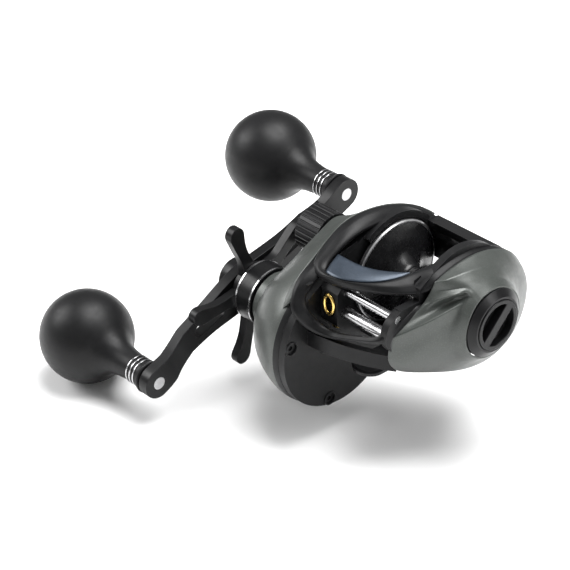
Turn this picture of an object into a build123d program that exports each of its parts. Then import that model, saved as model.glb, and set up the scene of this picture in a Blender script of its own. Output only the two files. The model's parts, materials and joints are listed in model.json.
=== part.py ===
"""Baitcasting reel, low profile, right-hand retrieve, with a double handle and ball knobs.

Millimetres. The origin is on the underside of the reel foot, midway along the spool.
+X points to the palm side, so the handle is on the -X side. -Y points to the rod tip,
where the line leaves, and +Z is up, away from the rod.
"""
import os
from math import acos, atan2, cos, degrees, pi, radians, sin, sqrt

from build123d import *

# ---------------------------------------------------------------- driving dimensions
SPOOL_Z = 22.5            # height of the spool axis over the foot's underside
SPOOL_AXIS = (0.0, SPOOL_Z)
HUB_AXIS = (-24.0, 4.5)   # drive shaft axis (Y, Z): 30 mm from the spool axis
WORM_AXIS = (-30.0, 20.82)
ROD_AXIS = (-30.0, 29.2)

SPOOL_RADIUS = 19.1       # flange radius: a 38 mm spool
SPOOL_INSIDE = 12.5       # half the width between the flange rims
FLANGE_THICKNESS = 2.0
DRUM_RADIUS = 5.2
CONE_RADIUS = 9.0         # foot of the cone between the flange and the drum
CONE_END = 6.0
SPOOL_SHAFT_RADIUS = 1.5

PLATE_IN = -15.3          # inner face of the gear-side frame plate
PLATE_OUT = -18.3
RING_IN = 14.8            # inner face of the palm-side frame ring
RING_OUT = 17.6
RING_BORE = 19.7          # the spool comes out through this opening

CASE_HUB_RADIUS = 26.6
CASE_SPOOL_RADIUS = 22.4

HANDLE_LENGTH = 100.0     # knob axis to knob axis
HANDLE_ANGLE = 24.9       # tilt of the arm at rest, front knob down
ARM_IN = -62.4
ARM_THICKNESS = 4.2
ARM_END_STEP = 2.6        # the arm's ends are bent this far towards the reel
KNOB_RADIUS = 17.5
KNOB_CENTRE_X = -101.4
KNOB_END_X = KNOB_CENTRE_X - KNOB_RADIUS
PIN_RADIUS = 1.75

GEAR_MODULE = 0.5
MAIN_TEETH = 100
PINION_TEETH = 20
GUIDE_MODULE = 0.6        # level-wind gears
GUIDE_DRIVE_TEETH = 34
WORM_TEETH = 24

STAR_RADIUS = 30.0
STAR_SPOKES = 5
STAR_PHASE = 38.0
COLLAR_RADIUS = 11.3

DIAL_X = 33.0
DIAL_RADIUS = 12.5
DIAL_GRIP_RADIUS = 9.2
DIAL_BAR_HEADING = 46.6   # direction of the finger bar

FOOT_LENGTH = 62.0
FOOT_WIDTH = 12.0
FOOT_THICKNESS = 1.8

THUMB_TRAVEL = 3.5
YOKE_TRAVEL = 1.8
RUN = 0.05                # radial running clearance

# frame and foot
FRONT_LEFT = (PLATE_IN - 1.0, -38.5)
FRONT_MIDDLE = (0.0, -35.6)
FRONT_RIGHT = (RING_IN + 1.0, -28.0)
FRONT_WALL = 2.6
SILL_Z = (8.0, 13.8)          # lower front wall, under the window
THUMB_PIN = (19.6, 28.5)      # cam-side guide pin of the thumb bar
THUMB_PIN_PALM = (21.6, 28.0)
THUMB_PIN_RADIUS = 0.8
APRON_HEADINGS = (-8.0, 30.0)
THUMB_LEAN = 30.0             # the bar slides down and back, this far from the vertical
POD_CENTRE = (20.2, 26.6)     # rear lobe that covers the cam's arm
POD_RADIUS = 5.1
POST_RADIUS = 1.0
POST_REACH = 9.2
POST_HEADINGS = (126.87, 306.87)
COVER_SCREWS = ((-47.4, 9.8), (-29.0, -19.0), (16.0, 35.0))
PALM_LOBE = (-27.5, 24.0)     # carries the palm ends of the worm and the guide rod
PALM_LOBE_RADIUS = 7.9
PALM_POSTS = ((-26.5, 15.5), (19.2, 9.1), (21.2, 32.4))
FOOT_RIVETS = ((-3.6, -9.0), (3.6, -9.0), (-3.6, 9.0), (3.6, 9.0))

# covers
CASE_SECTIONS = (
    (PLATE_OUT, 26.6, 22.4), (-25.8, 26.5, 19.5), (-31.5, 24.4, 15.5),
    (-36.0, 21.8, 12.5), (-40.0, 18.3, 10.2), (-43.5, 14.2, 8.6),
)
CASE_HOLLOW = (
    (PLATE_OUT, 25.8, 21.4), (-25.6, 25.7, 18.3), (-31.0, 23.1, 14.2),
    (-35.0, 20.4, 11.1), (-38.5, 16.8, 8.9), (-42.0, 12.8, 7.1),
)
COVER_PILLAR_END = -21.1
BOSS_END = -49.2
CAST_BOSS_END = -48.0
PALM_OUTLINE = (
    (-36.6, 18.6), (-32.0, 28.0), (-21.0, 36.5), (-8.0, 41.8), (6.0, 42.2), (18.0, 38.4),
    (27.6, 31.2), (32.2, 21.5), (31.0, 10.5), (24.5, 1.2), (13.0, -3.6), (2.0, -3.1),
    (-9.0, 0.6), (-20.0, 5.2), (-31.0, 9.8),
)
PALM_TOP_RADIUS = 15.6
PALM_SECTIONS = ((RING_OUT, 0.0), (21.5, 0.10), (25.5, 0.34), (29.0, 0.66), (32.0, 1.0))
PALM_WALL = 1.6
PALM_SCREW_END = 20.2

# gear train
GUIDE_GEAR_X = (-18.6, -19.7)
RATCHET_X = (-19.9, -21.0)
MAIN_GEAR_X = (-21.4, -24.9)
CUP_FLOOR_X = -22.8
CUP_END_X = -28.6
CUP_RADIUS = 14.0
SHAFT_RADIUS = 3.5
PINION_BORE = 1.75
HUB_TO_SPOOL = 36.87      # heading from the drive shaft to the spool axis

# clutch
CAM_X = (-18.45, -19.2)
CAM_RADIUS = 8.0
CAM_INNER_RADIUS = 5.3
CAM_PIN_REACH = 21.05
YOKE_X = (-28.7, -29.9)

# anti-reverse and drive bearings
CLUTCH_X = (-38.5, -46.2)
SLEEVE_RADIUS = 4.6

# star drag, handle and knobs
COLLAR_X = (-50.0, -58.2)
SPOKE_X = (-58.2, -61.6)
TRIM_RING_X = (-50.6, -57.5)
PIN_HEAD_X = ARM_IN + ARM_END_STEP
ARM_END_OUT = ARM_IN + ARM_END_STEP - ARM_THICKNESS
KNOB_START_X = ARM_END_OUT - 0.5
RING_PLACES = (-68.6, -70.4, -72.2)

# cast control and brake dial
CAP_X = (-44.6, -55.8)

# level wind
GUIDE_X = -10.6
INSERT_Z = 24.2
INSERT_HEIGHT = 8.8
INSERT_WIDTH = 6.2
WORM_RADIUS = 1.55
WORM_CORE_RADIUS = 1.25


# ---------------------------------------------------------------- helpers
def side(x, centre=(0.0, 0.0), turn=0.0):
    """Plane across the X axis: local x is Y, local y is Z, turned about X."""
    angle = radians(turn)
    return Plane(origin=(x, centre[0], centre[1]), x_dir=(0, cos(angle), sin(angle)), z_dir=(1, 0, 0))


def prism(sketch, x0, x1, centre=(0.0, 0.0), turn=0.0):
    """Extrude a sketch of the YZ plane from x0 to x1."""
    low, high = min(x0, x1), max(x0, x1)
    return extrude(side(low, centre, turn) * sketch, amount=high - low)


def disc(x0, x1, radius, centre, bore=0.0):
    """Round plate or tube along X."""
    outline = Circle(radius)
    if bore:
        outline -= Circle(bore)
    return prism(outline, x0, x1, centre)


def turned(points, centre):
    """Body of revolution about an X-parallel axis, from (x, radius) points."""
    outline = make_face(Polyline(*points, close=True))
    placed = Plane(origin=(0, centre[0], centre[1]), x_dir=(1, 0, 0), z_dir=(0, -1, 0)) * outline
    return revolve(placed, axis=Axis((0, centre[0], centre[1]), (1, 0, 0)))


def polar(centre, radius, angle):
    """Point of the YZ plane at a radius and angle from a centre."""
    return (centre[0] + radius * cos(radians(angle)), centre[1] + radius * sin(radians(angle)))


def belt(hub_radius, spool_radius, hub=HUB_AXIS, spool=SPOOL_AXIS):
    """Outline round two circles joined by their outer tangents."""
    dy, dz = spool[0] - hub[0], spool[1] - hub[1]
    distance = sqrt(dy * dy + dz * dz)
    heading = degrees(atan2(dz, dy))
    spread = degrees(acos((hub_radius - spool_radius) / distance))
    hub_top = polar(hub, hub_radius, heading + spread)
    hub_bottom = polar(hub, hub_radius, heading - spread)
    spool_top = polar(spool, spool_radius, heading + spread)
    spool_bottom = polar(spool, spool_radius, heading - spread)
    hub_far = polar(hub, hub_radius, heading + 180)
    spool_far = polar(spool, spool_radius, heading)
    edges = [
        ThreePointArc(hub_top, hub_far, hub_bottom),
        Line(hub_bottom, spool_bottom),
        ThreePointArc(spool_bottom, spool_far, spool_top),
        Line(spool_top, hub_top),
    ]
    return make_face(edges)


def belt_loft(sections):
    """Solid through belt outlines given as (x, hub radius, spool radius)."""
    return loft([side(x) * belt(hub, spool) for x, hub, spool in sections])


def gear_outline(teeth, module, backlash):
    """Spur gear outline with straight-flanked teeth, one tooth centred on local x."""
    pitch = module * teeth / 2
    root = pitch - 1.2 * module
    tip = pitch + 0.85 * module
    half_root = degrees((0.92 * module - backlash / 2) / root)
    half_pitch = degrees((pi * module / 4 - backlash / 2) / pitch)
    half_tip = degrees((0.36 * module - backlash / 2) / tip)
    points = []
    for tooth in range(teeth):
        middle = 360 * tooth / teeth
        points.append(polar((0, 0), root, middle - half_root))
        points.append(polar((0, 0), pitch, middle - half_pitch))
        points.append(polar((0, 0), tip, middle - half_tip))
        points.append(polar((0, 0), tip, middle + half_tip))
        points.append(polar((0, 0), pitch, middle + half_pitch))
        points.append(polar((0, 0), root, middle + half_root))
    return make_face(Polyline(*points, close=True))


def ball_bearing(x0, x1, bore, outer, centre, balls=7):
    """Bearing as inner race, outer race and balls: a group of separate solids."""
    middle = (bore + outer) / 2
    race = (outer - bore) * 0.3
    ball = min((outer - bore) * 0.2 - 0.02, abs(x1 - x0) * 0.4)
    solids = [
        disc(x0, x1, outer, centre, outer - race),
        disc(x0, x1, bore + race, centre, bore),
    ]
    for index in range(balls):
        y, z = polar(centre, middle, 360 * index / balls)
        solids.append(Pos((x0 + x1) / 2, y, z) * Sphere(ball))
    return Compound(children=solids)


def screw(x0, x1, head_x, shank, head, centre):
    """Screw along X: shank from x0 to x1, socket head from x1 to head_x."""
    body = disc(x0, x1, shank, centre) + disc(x1, head_x, head, centre)
    depth = 0.5 * (head_x - x1)
    socket = prism(RegularPolygon(head * 0.5, 6), head_x - depth, head_x, centre)
    return body - socket


# ---------------------------------------------------------------- frame and foot
def front_wall(z0, z1):
    """Curved wall of the front window, between two heights."""
    path = ThreePointArc((*FRONT_LEFT,), (*FRONT_MIDDLE,), (*FRONT_RIGHT,))
    return Pos(0, 0, z0) * extrude(trace(path, FRONT_WALL), amount=z1 - z0)


def thumb_slot(x0, x1, pin):
    """Slot that guides one pin of the thumb bar along its travel."""
    length = THUMB_TRAVEL + 2 * THUMB_PIN_RADIUS + 0.6
    centre = polar(pin, THUMB_TRAVEL / 2, THUMB_LEAN - 90)
    slot = SlotOverall(length, 2 * THUMB_PIN_RADIUS + 0.3, rotation=THUMB_LEAN - 90)
    return prism(slot, x0, x1, centre)


def gear_plate():
    """Gear-side frame plate with its bearing seats."""
    plate = prism(belt(CASE_HUB_RADIUS - 0.1, CASE_SPOOL_RADIUS), PLATE_OUT, PLATE_IN)
    plate += disc(PLATE_OUT, PLATE_IN, POD_RADIUS, POD_CENTRE)
    plate -= disc(PLATE_OUT, PLATE_IN, 5.5, SPOOL_AXIS)
    plate -= disc(PLATE_OUT, PLATE_OUT + 2.3, 4.5, HUB_AXIS)
    plate -= disc(PLATE_OUT, PLATE_IN, 3.2, WORM_AXIS)
    plate -= disc(PLATE_OUT, PLATE_IN, 1.5, ROD_AXIS)
    plate -= thumb_slot(PLATE_OUT, PLATE_IN, THUMB_PIN)
    for heading in POST_HEADINGS:
        plate -= disc(PLATE_OUT, PLATE_OUT + 2.0, POST_RADIUS, polar(SPOOL_AXIS, POST_REACH, heading))
    for place in COVER_SCREWS:
        plate -= disc(PLATE_OUT, PLATE_IN, 1.1, place)
        plate -= disc(PLATE_IN - 1.5, PLATE_IN, 2.3, place)
    return plate


def palm_ring():
    """Palm-side frame ring: open for the spool, with a lobe that carries the level wind."""
    outline = make_hull([
        *(Pos(*SPOOL_AXIS) * Circle(CASE_SPOOL_RADIUS + 0.2)).edges(),
        *(Pos(*PALM_LOBE) * Circle(PALM_LOBE_RADIUS)).edges(),
    ])
    ring = prism(outline, RING_IN, RING_OUT)
    ring += disc(RING_IN, RING_OUT, POD_RADIUS, POD_CENTRE)
    for place in PALM_POSTS:
        ring += disc(RING_IN, RING_OUT, 2.8, place)
    ring -= disc(RING_IN, RING_OUT, RING_BORE, SPOOL_AXIS)
    ring -= disc(RING_IN, RING_OUT, 3.2, WORM_AXIS)
    ring -= disc(RING_IN, RING_OUT, 1.5, ROD_AXIS)
    ring -= thumb_slot(RING_IN, RING_OUT, THUMB_PIN_PALM)
    for place in PALM_POSTS:
        ring -= disc(RING_IN, RING_OUT, 1.0, place)
        ring -= disc(RING_IN, RING_IN + 1.6, 1.8, place)
    return ring


def hood_arch(x0, x1, start, end):
    """Arched lip over one spool flange, between two angles about the spool axis."""
    inner, outer = RING_BORE + 0.3, CASE_SPOOL_RADIUS
    middle = (start + end) / 2
    edges = [
        ThreePointArc(polar(SPOOL_AXIS, outer, start), polar(SPOOL_AXIS, outer, middle),
                      polar(SPOOL_AXIS, outer, end)),
        Line(polar(SPOOL_AXIS, outer, end), polar(SPOOL_AXIS, inner, end)),
        ThreePointArc(polar(SPOOL_AXIS, inner, end), polar(SPOOL_AXIS, inner, middle),
                      polar(SPOOL_AXIS, inner, start)),
        Line(polar(SPOOL_AXIS, inner, start), polar(SPOOL_AXIS, outer, start)),
    ]
    return prism(make_face(edges), x0, x1)


def cross_members():
    """Floor, rear bar, lower front wall and front head bar between the two plates."""
    floor = Box(RING_IN - PLATE_IN, 27.0, 1.1, align=(Align.MIN, Align.CENTER, Align.MIN))
    floor = Pos(PLATE_IN, 0, FOOT_THICKNESS) * floor
    rear = Pos(PLATE_IN, 18.5, 6.0) * Box(RING_IN - PLATE_IN, 5.0, 8.0, align=Align.MIN)
    head = extrude(Plane.YZ * make_face(Polyline(
        (-34.4, 34.6), (-26.0, 38.0), (-17.0, 40.0), (-17.0, 38.0), (-25.0, 35.5),
        (-31.5, 32.0), (-34.4, 32.0), close=True)), amount=RING_IN - PLATE_IN)
    head = Pos(PLATE_IN, 0, 0) * head
    clear = disc(PLATE_IN, RING_IN, SPOOL_RADIUS + 0.9, SPOOL_AXIS)
    return (floor + rear + head - clear) + front_wall(*SILL_Z) + front_wall(31.7, 34.2)


def frame():
    """One-piece metal frame."""
    body = gear_plate() + palm_ring() + cross_members()
    body += hood_arch(PLATE_IN, PLATE_IN + 2.0, 42, 128)
    for place in FOOT_RIVETS:
        body -= Pos(*place, FOOT_THICKNESS) * Cylinder(0.9, 4.0)
    return body


def reel_foot():
    """Long thin foot that the rod's reel seat clamps, bevelled at both ends."""
    outline = Rectangle(FOOT_WIDTH, FOOT_LENGTH)
    outline = fillet(outline.vertices(), FOOT_WIDTH / 2 - 0.1)
    foot = extrude(outline, amount=FOOT_THICKNESS)
    top = foot.faces().sort_by(Axis.Z)[-1]
    foot = chamfer(top.edges(), 0.7)
    for place in FOOT_RIVETS:
        foot -= Pos(*place) * Cylinder(0.9, 2 * FOOT_THICKNESS)
        foot -= Pos(*place) * Cylinder(1.7, 1.6)
    return foot


def foot_rivets():
    """Countersunk rivets that join the foot to the frame."""
    rivets = []
    for place in FOOT_RIVETS:
        shank = Pos(*place, 0.1) * Cylinder(0.9, 2.75, align=(Align.CENTER, Align.CENTER, Align.MIN))
        head = Pos(*place, 0.1) * Cylinder(1.65, 0.7, align=(Align.CENTER, Align.CENTER, Align.MIN))
        rivets.append(shank + head)
    return Compound(children=rivets)


def front_panel():
    """Crescent-shaped trim panel on the head bar, in front of the spool."""
    slab = extrude(Plane.YZ * make_face(Polyline(
        (-33.6, 35.3), (-26.0, 38.15), (-17.2, 40.1), (-17.2, 40.7), (-26.2, 38.75),
        (-33.8, 35.9), close=True)), amount=22.0)
    slab = Pos(-12.5, 0, 0) * slab
    cut = Pos(1.0, -4.0, 38.0) * Cylinder(15.5, 10.0)
    return slab - cut


# ---------------------------------------------------------------- covers
def gear_side_cover():
    """Domed gear cover with the drive shaft boss and the threaded cast-control boss."""
    shell = belt_loft(CASE_SECTIONS) + disc(PLATE_OUT, -21.6, POD_RADIUS, POD_CENTRE)
    shell -= belt_loft(CASE_HOLLOW)
    shell -= disc(PLATE_OUT, -20.7, POD_RADIUS - 0.8, POD_CENTRE)
    shell += disc(-38.0, BOSS_END, 10.6, HUB_AXIS)
    shell += disc(-34.0, CAST_BOSS_END, 6.6, SPOOL_AXIS)
    shell -= disc(-30.0, -46.4, 7.0, HUB_AXIS)
    shell -= disc(-30.0, BOSS_END, 5.6, HUB_AXIS)
    shell -= disc(-30.0, -37.5, 5.0, SPOOL_AXIS)
    shell -= disc(-30.0, CAST_BOSS_END, 4.0, SPOOL_AXIS)
    for heading in POST_HEADINGS:
        place = polar(SPOOL_AXIS, POST_REACH, heading)
        shell += disc(-35.0, -50.0, 1.9, place) & belt_loft(CASE_SECTIONS)
        shell -= disc(-30.0, -35.9, POST_RADIUS, place)
    for place in COVER_SCREWS:
        shell += disc(PLATE_OUT, COVER_PILLAR_END, 2.3, place) & belt_loft(CASE_SECTIONS)
        shell -= disc(PLATE_OUT, COVER_PILLAR_END + 0.2, 1.0, place)
    return shell


def gear_cover_screws():
    """Three screws that enter from the frame side and hold the gear cover."""
    screws = []
    for place in COVER_SCREWS:
        screws.append(screw(COVER_PILLAR_END + 0.3, PLATE_IN - 1.5, PLATE_IN - 0.3, 1.0, 2.15, place))
    return Compound(children=screws)


def palm_section(x, share, inset):
    """Palm cover section between the base outline (share 0) and the round top (share 1)."""
    points = []
    for y, z in PALM_OUTLINE:
        heading = atan2(z - SPOOL_Z, y)
        reach = sqrt(y * y + (z - SPOOL_Z) ** 2)
        radius = reach + (PALM_TOP_RADIUS - reach) * share - inset
        points.append((radius * cos(heading), SPOOL_Z + radius * sin(heading)))
    return side(x) * make_face(Spline(*points, periodic=True))


def palm_side_cover():
    """Teardrop palm cover, a shell with a round seat for the brake dial."""
    outer = loft([palm_section(x, share, 0.0) for x, share in PALM_SECTIONS])
    inner_sections = [(x if x == RING_OUT else x - PALM_WALL, share) for x, share in PALM_SECTIONS]
    inner = loft([palm_section(x, share, PALM_WALL) for x, share in inner_sections])
    shell = outer - inner
    shell -= disc(25.0, 40.0, DIAL_RADIUS + 0.15, SPOOL_AXIS)
    shell += disc(27.4, 31.6, DIAL_RADIUS + 1.6, SPOOL_AXIS, DIAL_RADIUS + 0.15)
    shell += disc(27.4, 29.0, DIAL_RADIUS + 1.6, SPOOL_AXIS, 8.2)
    for place in PALM_POSTS:
        shell += disc(RING_OUT, 24.0, 2.1, place) & outer
        shell -= disc(RING_OUT, PALM_SCREW_END + 0.2, 0.95, place)
    return shell


def palm_cover_screws():
    """Long screws from the frame ring into the palm cover's posts."""
    screws = []
    for place in PALM_POSTS:
        body = disc(RING_IN + 1.5, PALM_SCREW_END, 0.93, place)
        body += disc(RING_IN + 0.3, RING_IN + 1.6, 1.75, place)
        screws.append(body)
    return Compound(children=screws)


# ---------------------------------------------------------------- spool
def spool():
    """Turned line spool: two dished flanges, a grooved drum and a hub for the shaft."""
    inner, outer = SPOOL_INSIDE, SPOOL_INSIDE + FLANGE_THICKNESS
    profile = [
        (-outer, SPOOL_SHAFT_RADIUS), (-outer, 4.0), (-11.0, 6.0), (-11.0, 12.0),
        (-outer, 16.5), (-outer, SPOOL_RADIUS), (-inner, SPOOL_RADIUS), (-inner, 17.6),
        (-10.2, 14.0), (-9.4, CONE_RADIUS), (-CONE_END, DRUM_RADIUS),
    ]
    for groove in range(5):
        x = (groove - 2) * 2.2
        profile += [(x - 0.5, DRUM_RADIUS), (x - 0.3, DRUM_RADIUS - 0.4),
                    (x + 0.3, DRUM_RADIUS - 0.4), (x + 0.5, DRUM_RADIUS)]
    profile += [
        (CONE_END, DRUM_RADIUS), (9.4, CONE_RADIUS), (10.2, 14.0), (inner, 17.6),
        (inner, SPOOL_RADIUS), (outer, SPOOL_RADIUS), (outer, 16.5), (11.0, 12.0),
        (11.0, 6.0), (outer, 4.0), (outer, SPOOL_SHAFT_RADIUS),
    ]
    return turned(profile, SPOOL_AXIS)


def spool_shaft():
    """Steel shaft through the spool and the pinion, with a cross hole for the drive pin."""
    shaft = disc(-50.4, 21.0, SPOOL_SHAFT_RADIUS, SPOOL_AXIS)
    shaft -= Pos(-16.0, 0, SPOOL_Z) * Cylinder(0.5, 8.0)
    return shaft


def spool_drive_pin():
    """Cross pin that the pinion's slot catches."""
    return Pos(-16.0, 0, SPOOL_Z) * Cylinder(0.5, 5.4)


def brake_rotor():
    """Aluminium induction ring on the spool's palm-side flange."""
    return disc(14.5, 17.6, 14.5, SPOOL_AXIS, 13.2) + disc(14.5, 15.3, 14.5, SPOOL_AXIS, 4.5)


# ---------------------------------------------------------------- gear train
def main_gear():
    """Spur gear with a cup for the drag washers, one tooth facing the pinion."""
    gear = prism(gear_outline(MAIN_TEETH, GEAR_MODULE, 0.16), *MAIN_GEAR_X, HUB_AXIS, HUB_TO_SPOOL)
    gear += disc(MAIN_GEAR_X[1], CUP_END_X, CUP_RADIUS + 1.2, HUB_AXIS)
    gear -= disc(CUP_FLOOR_X, CUP_END_X, CUP_RADIUS, HUB_AXIS)
    gear -= disc(MAIN_GEAR_X[0], CUP_FLOOR_X, SHAFT_RADIUS + RUN, HUB_AXIS)
    for index in range(6):
        hole = polar(HUB_AXIS, 19.6, 60 * index)
        gear -= disc(*MAIN_GEAR_X, 2.6, hole)
    return gear


def drag_stack():
    """Friction washers and keyed metal washers, in turn, from the floor of the cup."""
    friction, metal = [], []
    x = CUP_FLOOR_X
    for _ in range(2):
        friction.append(disc(x, x - 0.9, CUP_RADIUS - 0.3, HUB_AXIS, SHAFT_RADIUS + 0.6))
        metal.append(disc(x - 0.9, x - 1.7, CUP_RADIUS - 0.3, HUB_AXIS, SHAFT_RADIUS + RUN))
        x -= 1.7
    friction.append(disc(x, x - 0.9, CUP_RADIUS - 0.3, HUB_AXIS, SHAFT_RADIUS + 0.6))
    return Compound(children=friction), Compound(children=metal), x - 0.9


def pressure_plate(x):
    """Key plate that passes the star's force on to the drag washers."""
    plate = disc(x, x - 1.2, CUP_RADIUS - 0.3, HUB_AXIS, SHAFT_RADIUS + RUN)
    return plate + disc(x - 1.2, -36.9, 5.0, HUB_AXIS, SHAFT_RADIUS + RUN)


def pinion_gear():
    """Sliding pinion: journal with a drive slot, teeth, and a groove for the yoke."""
    phase = HUB_TO_SPOOL + 180 + 180 / PINION_TEETH
    body = disc(-15.5, -20.2, 3.3, SPOOL_AXIS)
    body += prism(gear_outline(PINION_TEETH, GEAR_MODULE, 0.16), -20.2, -28.4, SPOOL_AXIS, phase)
    body += disc(-28.4, -30.2, 3.2, SPOOL_AXIS)
    body += disc(-30.2, -31.2, 4.6, SPOOL_AXIS)
    body += disc(-31.2, -36.0, 3.3, SPOOL_AXIS)
    body -= disc(-15.0, -37.0, PINION_BORE, SPOOL_AXIS)
    slot = Box(1.6, 1.3, 8.0)
    return body - Pos(-15.9, 0, SPOOL_Z) * slot


def drive_shaft():
    """Main shaft: bearing journal, flange behind the gear, round body and flatted end."""
    shaft = disc(-16.1, -18.45, 2.5, HUB_AXIS)
    shaft += disc(-18.45, -62.4, SHAFT_RADIUS, HUB_AXIS)
    end = disc(-62.4, -66.6, SHAFT_RADIUS, HUB_AXIS)
    flats = prism(Rectangle(12.0, 5.2), -62.4, -66.6, HUB_AXIS, HANDLE_ANGLE)
    shaft += end & flats
    shaft += disc(-66.6, -71.0, 2.6, HUB_AXIS)
    return shaft - disc(-67.0, -71.0, 0.9, HUB_AXIS)


def level_wind_drive_gear():
    """Gear on the drive shaft that turns the worm."""
    outline = gear_outline(GUIDE_DRIVE_TEETH, GUIDE_MODULE, 0.18)
    heading = degrees(atan2(WORM_AXIS[1] - HUB_AXIS[1], WORM_AXIS[0] - HUB_AXIS[0]))
    gear = prism(outline, *GUIDE_GEAR_X, HUB_AXIS, heading)
    return gear - disc(*GUIDE_GEAR_X, SHAFT_RADIUS, HUB_AXIS)


def worm_gear():
    """Gear on the end of the worm shaft."""
    outline = gear_outline(WORM_TEETH, GUIDE_MODULE, 0.18)
    heading = degrees(atan2(HUB_AXIS[1] - WORM_AXIS[1], HUB_AXIS[0] - WORM_AXIS[0]))
    gear = prism(outline, *GUIDE_GEAR_X, WORM_AXIS, heading + 180 / WORM_TEETH)
    return gear - disc(*GUIDE_GEAR_X, WORM_CORE_RADIUS, WORM_AXIS)


def ratchet():
    """Saw-toothed disc that kicks the clutch back in when the handle turns."""
    points = []
    for tooth in range(8):
        points.append(polar((0, 0), 7.4, 45 * tooth))
        points.append(polar((0, 0), 9.4, 45 * tooth + 6))
        points.append(polar((0, 0), 8.4, 45 * tooth + 24))
    disc_face = make_face(Polyline(*points, close=True)) - Circle(SHAFT_RADIUS)
    return prism(disc_face, *RATCHET_X, HUB_AXIS)


# ---------------------------------------------------------------- clutch
def clutch_cam():
    """Cam ring on the gear plate, with two ramps and a slotted arm to the thumb bar's pin."""
    cam = disc(*CAM_X, CAM_RADIUS, SPOOL_AXIS, CAM_INNER_RADIUS)
    pin_heading = degrees(atan2(THUMB_PIN[1] - SPOOL_Z, THUMB_PIN[0] - SPOOL_AXIS[0]))
    arm_length = CAM_PIN_REACH + 2.1 - CAM_RADIUS + 4.0
    arm_middle = CAM_PIN_REACH + 2.1 - arm_length / 2
    arm = prism(Pos(arm_middle, 0) * SlotOverall(arm_length, 4.2), *CAM_X, SPOOL_AXIS, pin_heading)
    cam += arm - disc(*CAM_X, CAM_RADIUS - 1.0, SPOOL_AXIS)
    cam -= prism(Pos(CAM_PIN_REACH, 0) * SlotOverall(3.4, 1.8), *CAM_X, SPOOL_AXIS, pin_heading)
    for heading in POST_HEADINGS:
        cam += cam_ramp(heading)
    return cam


def cam_ramp(heading):
    """Ramp beside one yoke tab, rising away from it along the rim of the cam."""
    start, rise_end, end, height = 0.95, 2.25, 3.0, 1.5
    base, inner, outer = CAM_X[1], 5.9, 7.8
    steps = ((start, base), (rise_end, base - height), (end, base - height), (end, base))
    profile = Plane.XZ * make_face(Polyline(*[(x, along) for along, x in steps], close=True))
    ramp = Pos(0, outer, 0) * extrude(profile, amount=outer - inner)
    return Pos(0, *SPOOL_AXIS) * Rot(heading - 90, 0, 0) * mirror(ramp, Plane.XY)


def kick_lever():
    """Finger on the cam that the ratchet pushes to reset the clutch."""
    finger = prism(Pos(-13.0, 0) * SlotOverall(14.4, 2.4), RATCHET_X[0], RATCHET_X[1] + 0.1,
                   SPOOL_AXIS, HUB_TO_SPOOL)
    foot = prism(Pos(-6.9, 0) * Rectangle(2.0, 2.4), CAM_X[1], RATCHET_X[1] + 0.1, SPOOL_AXIS, HUB_TO_SPOOL)
    return finger + foot


def yoke():
    """Fork in the pinion's groove, carried on two sleeves that slide on the posts."""
    bar = prism(SlotOverall(2 * POST_REACH + 4.6, 4.6), *YOKE_X, SPOOL_AXIS, POST_HEADINGS[0])
    bar += disc(*YOKE_X, 6.0, SPOOL_AXIS)
    bar -= disc(*YOKE_X, 3.3, SPOOL_AXIS)
    bar -= prism(Pos(-5, 0) * Rectangle(10.0, 6.6), *YOKE_X, SPOOL_AXIS, HUB_TO_SPOOL)
    for heading in POST_HEADINGS:
        place = polar(SPOOL_AXIS, POST_REACH, heading)
        bar += disc(YOKE_X[0], CAM_X[1] - 0.1, 1.9, place)
        tab = prism(Pos(7.0, 0) * Rectangle(2.4, 1.6), CAM_X[1] - 0.1, CAM_X[1] - 1.1, SPOOL_AXIS, heading)
        bar += tab
        bar -= disc(YOKE_X[1], CAM_X[1], POST_RADIUS + RUN, place)
    return bar


def yoke_posts():
    """Two guide posts from the frame plate to the gear cover."""
    posts = []
    for heading in POST_HEADINGS:
        posts.append(disc(PLATE_OUT + 2.0, -35.8, POST_RADIUS, polar(SPOOL_AXIS, POST_REACH, heading)))
    return Compound(children=posts)


def coil_spring(x0, x1, radius, wire, turns, centre):
    """Compression spring along X."""
    path = Helix(pitch=(x0 - x1) / turns, height=x0 - x1, radius=radius)
    start = Plane(origin=path @ 0, z_dir=path % 0)
    coil = sweep(start * Circle(wire), path=path)
    return Plane(origin=(x0, centre[0], centre[1]), x_dir=(0, 1, 0), z_dir=(-1, 0, 0)) * coil


def yoke_springs():
    """Springs on the posts that push the yoke and the pinion back into drive."""
    springs = []
    for heading in POST_HEADINGS:
        springs.append(coil_spring(-30.2, -34.6, 1.45, 0.2, 5, polar(SPOOL_AXIS, POST_REACH, heading)))
    return Compound(children=springs)


def thumb_apron(x0, x1):
    """Curved wall that hangs from the thumb bar behind the spool."""
    inner, outer = SPOOL_RADIUS + 1.6, SPOOL_RADIUS + 3.2
    low, high = APRON_HEADINGS
    middle = (low + high) / 2
    edges = [
        ThreePointArc(polar(SPOOL_AXIS, outer, low), polar(SPOOL_AXIS, outer, middle),
                      polar(SPOOL_AXIS, outer, high)),
        Line(polar(SPOOL_AXIS, outer, high), polar(SPOOL_AXIS, inner, high)),
        ThreePointArc(polar(SPOOL_AXIS, inner, high), polar(SPOOL_AXIS, inner, middle),
                      polar(SPOOL_AXIS, inner, low)),
        Line(polar(SPOOL_AXIS, inner, low), polar(SPOOL_AXIS, outer, low)),
    ]
    return prism(make_face(edges), x0, x1)


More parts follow.
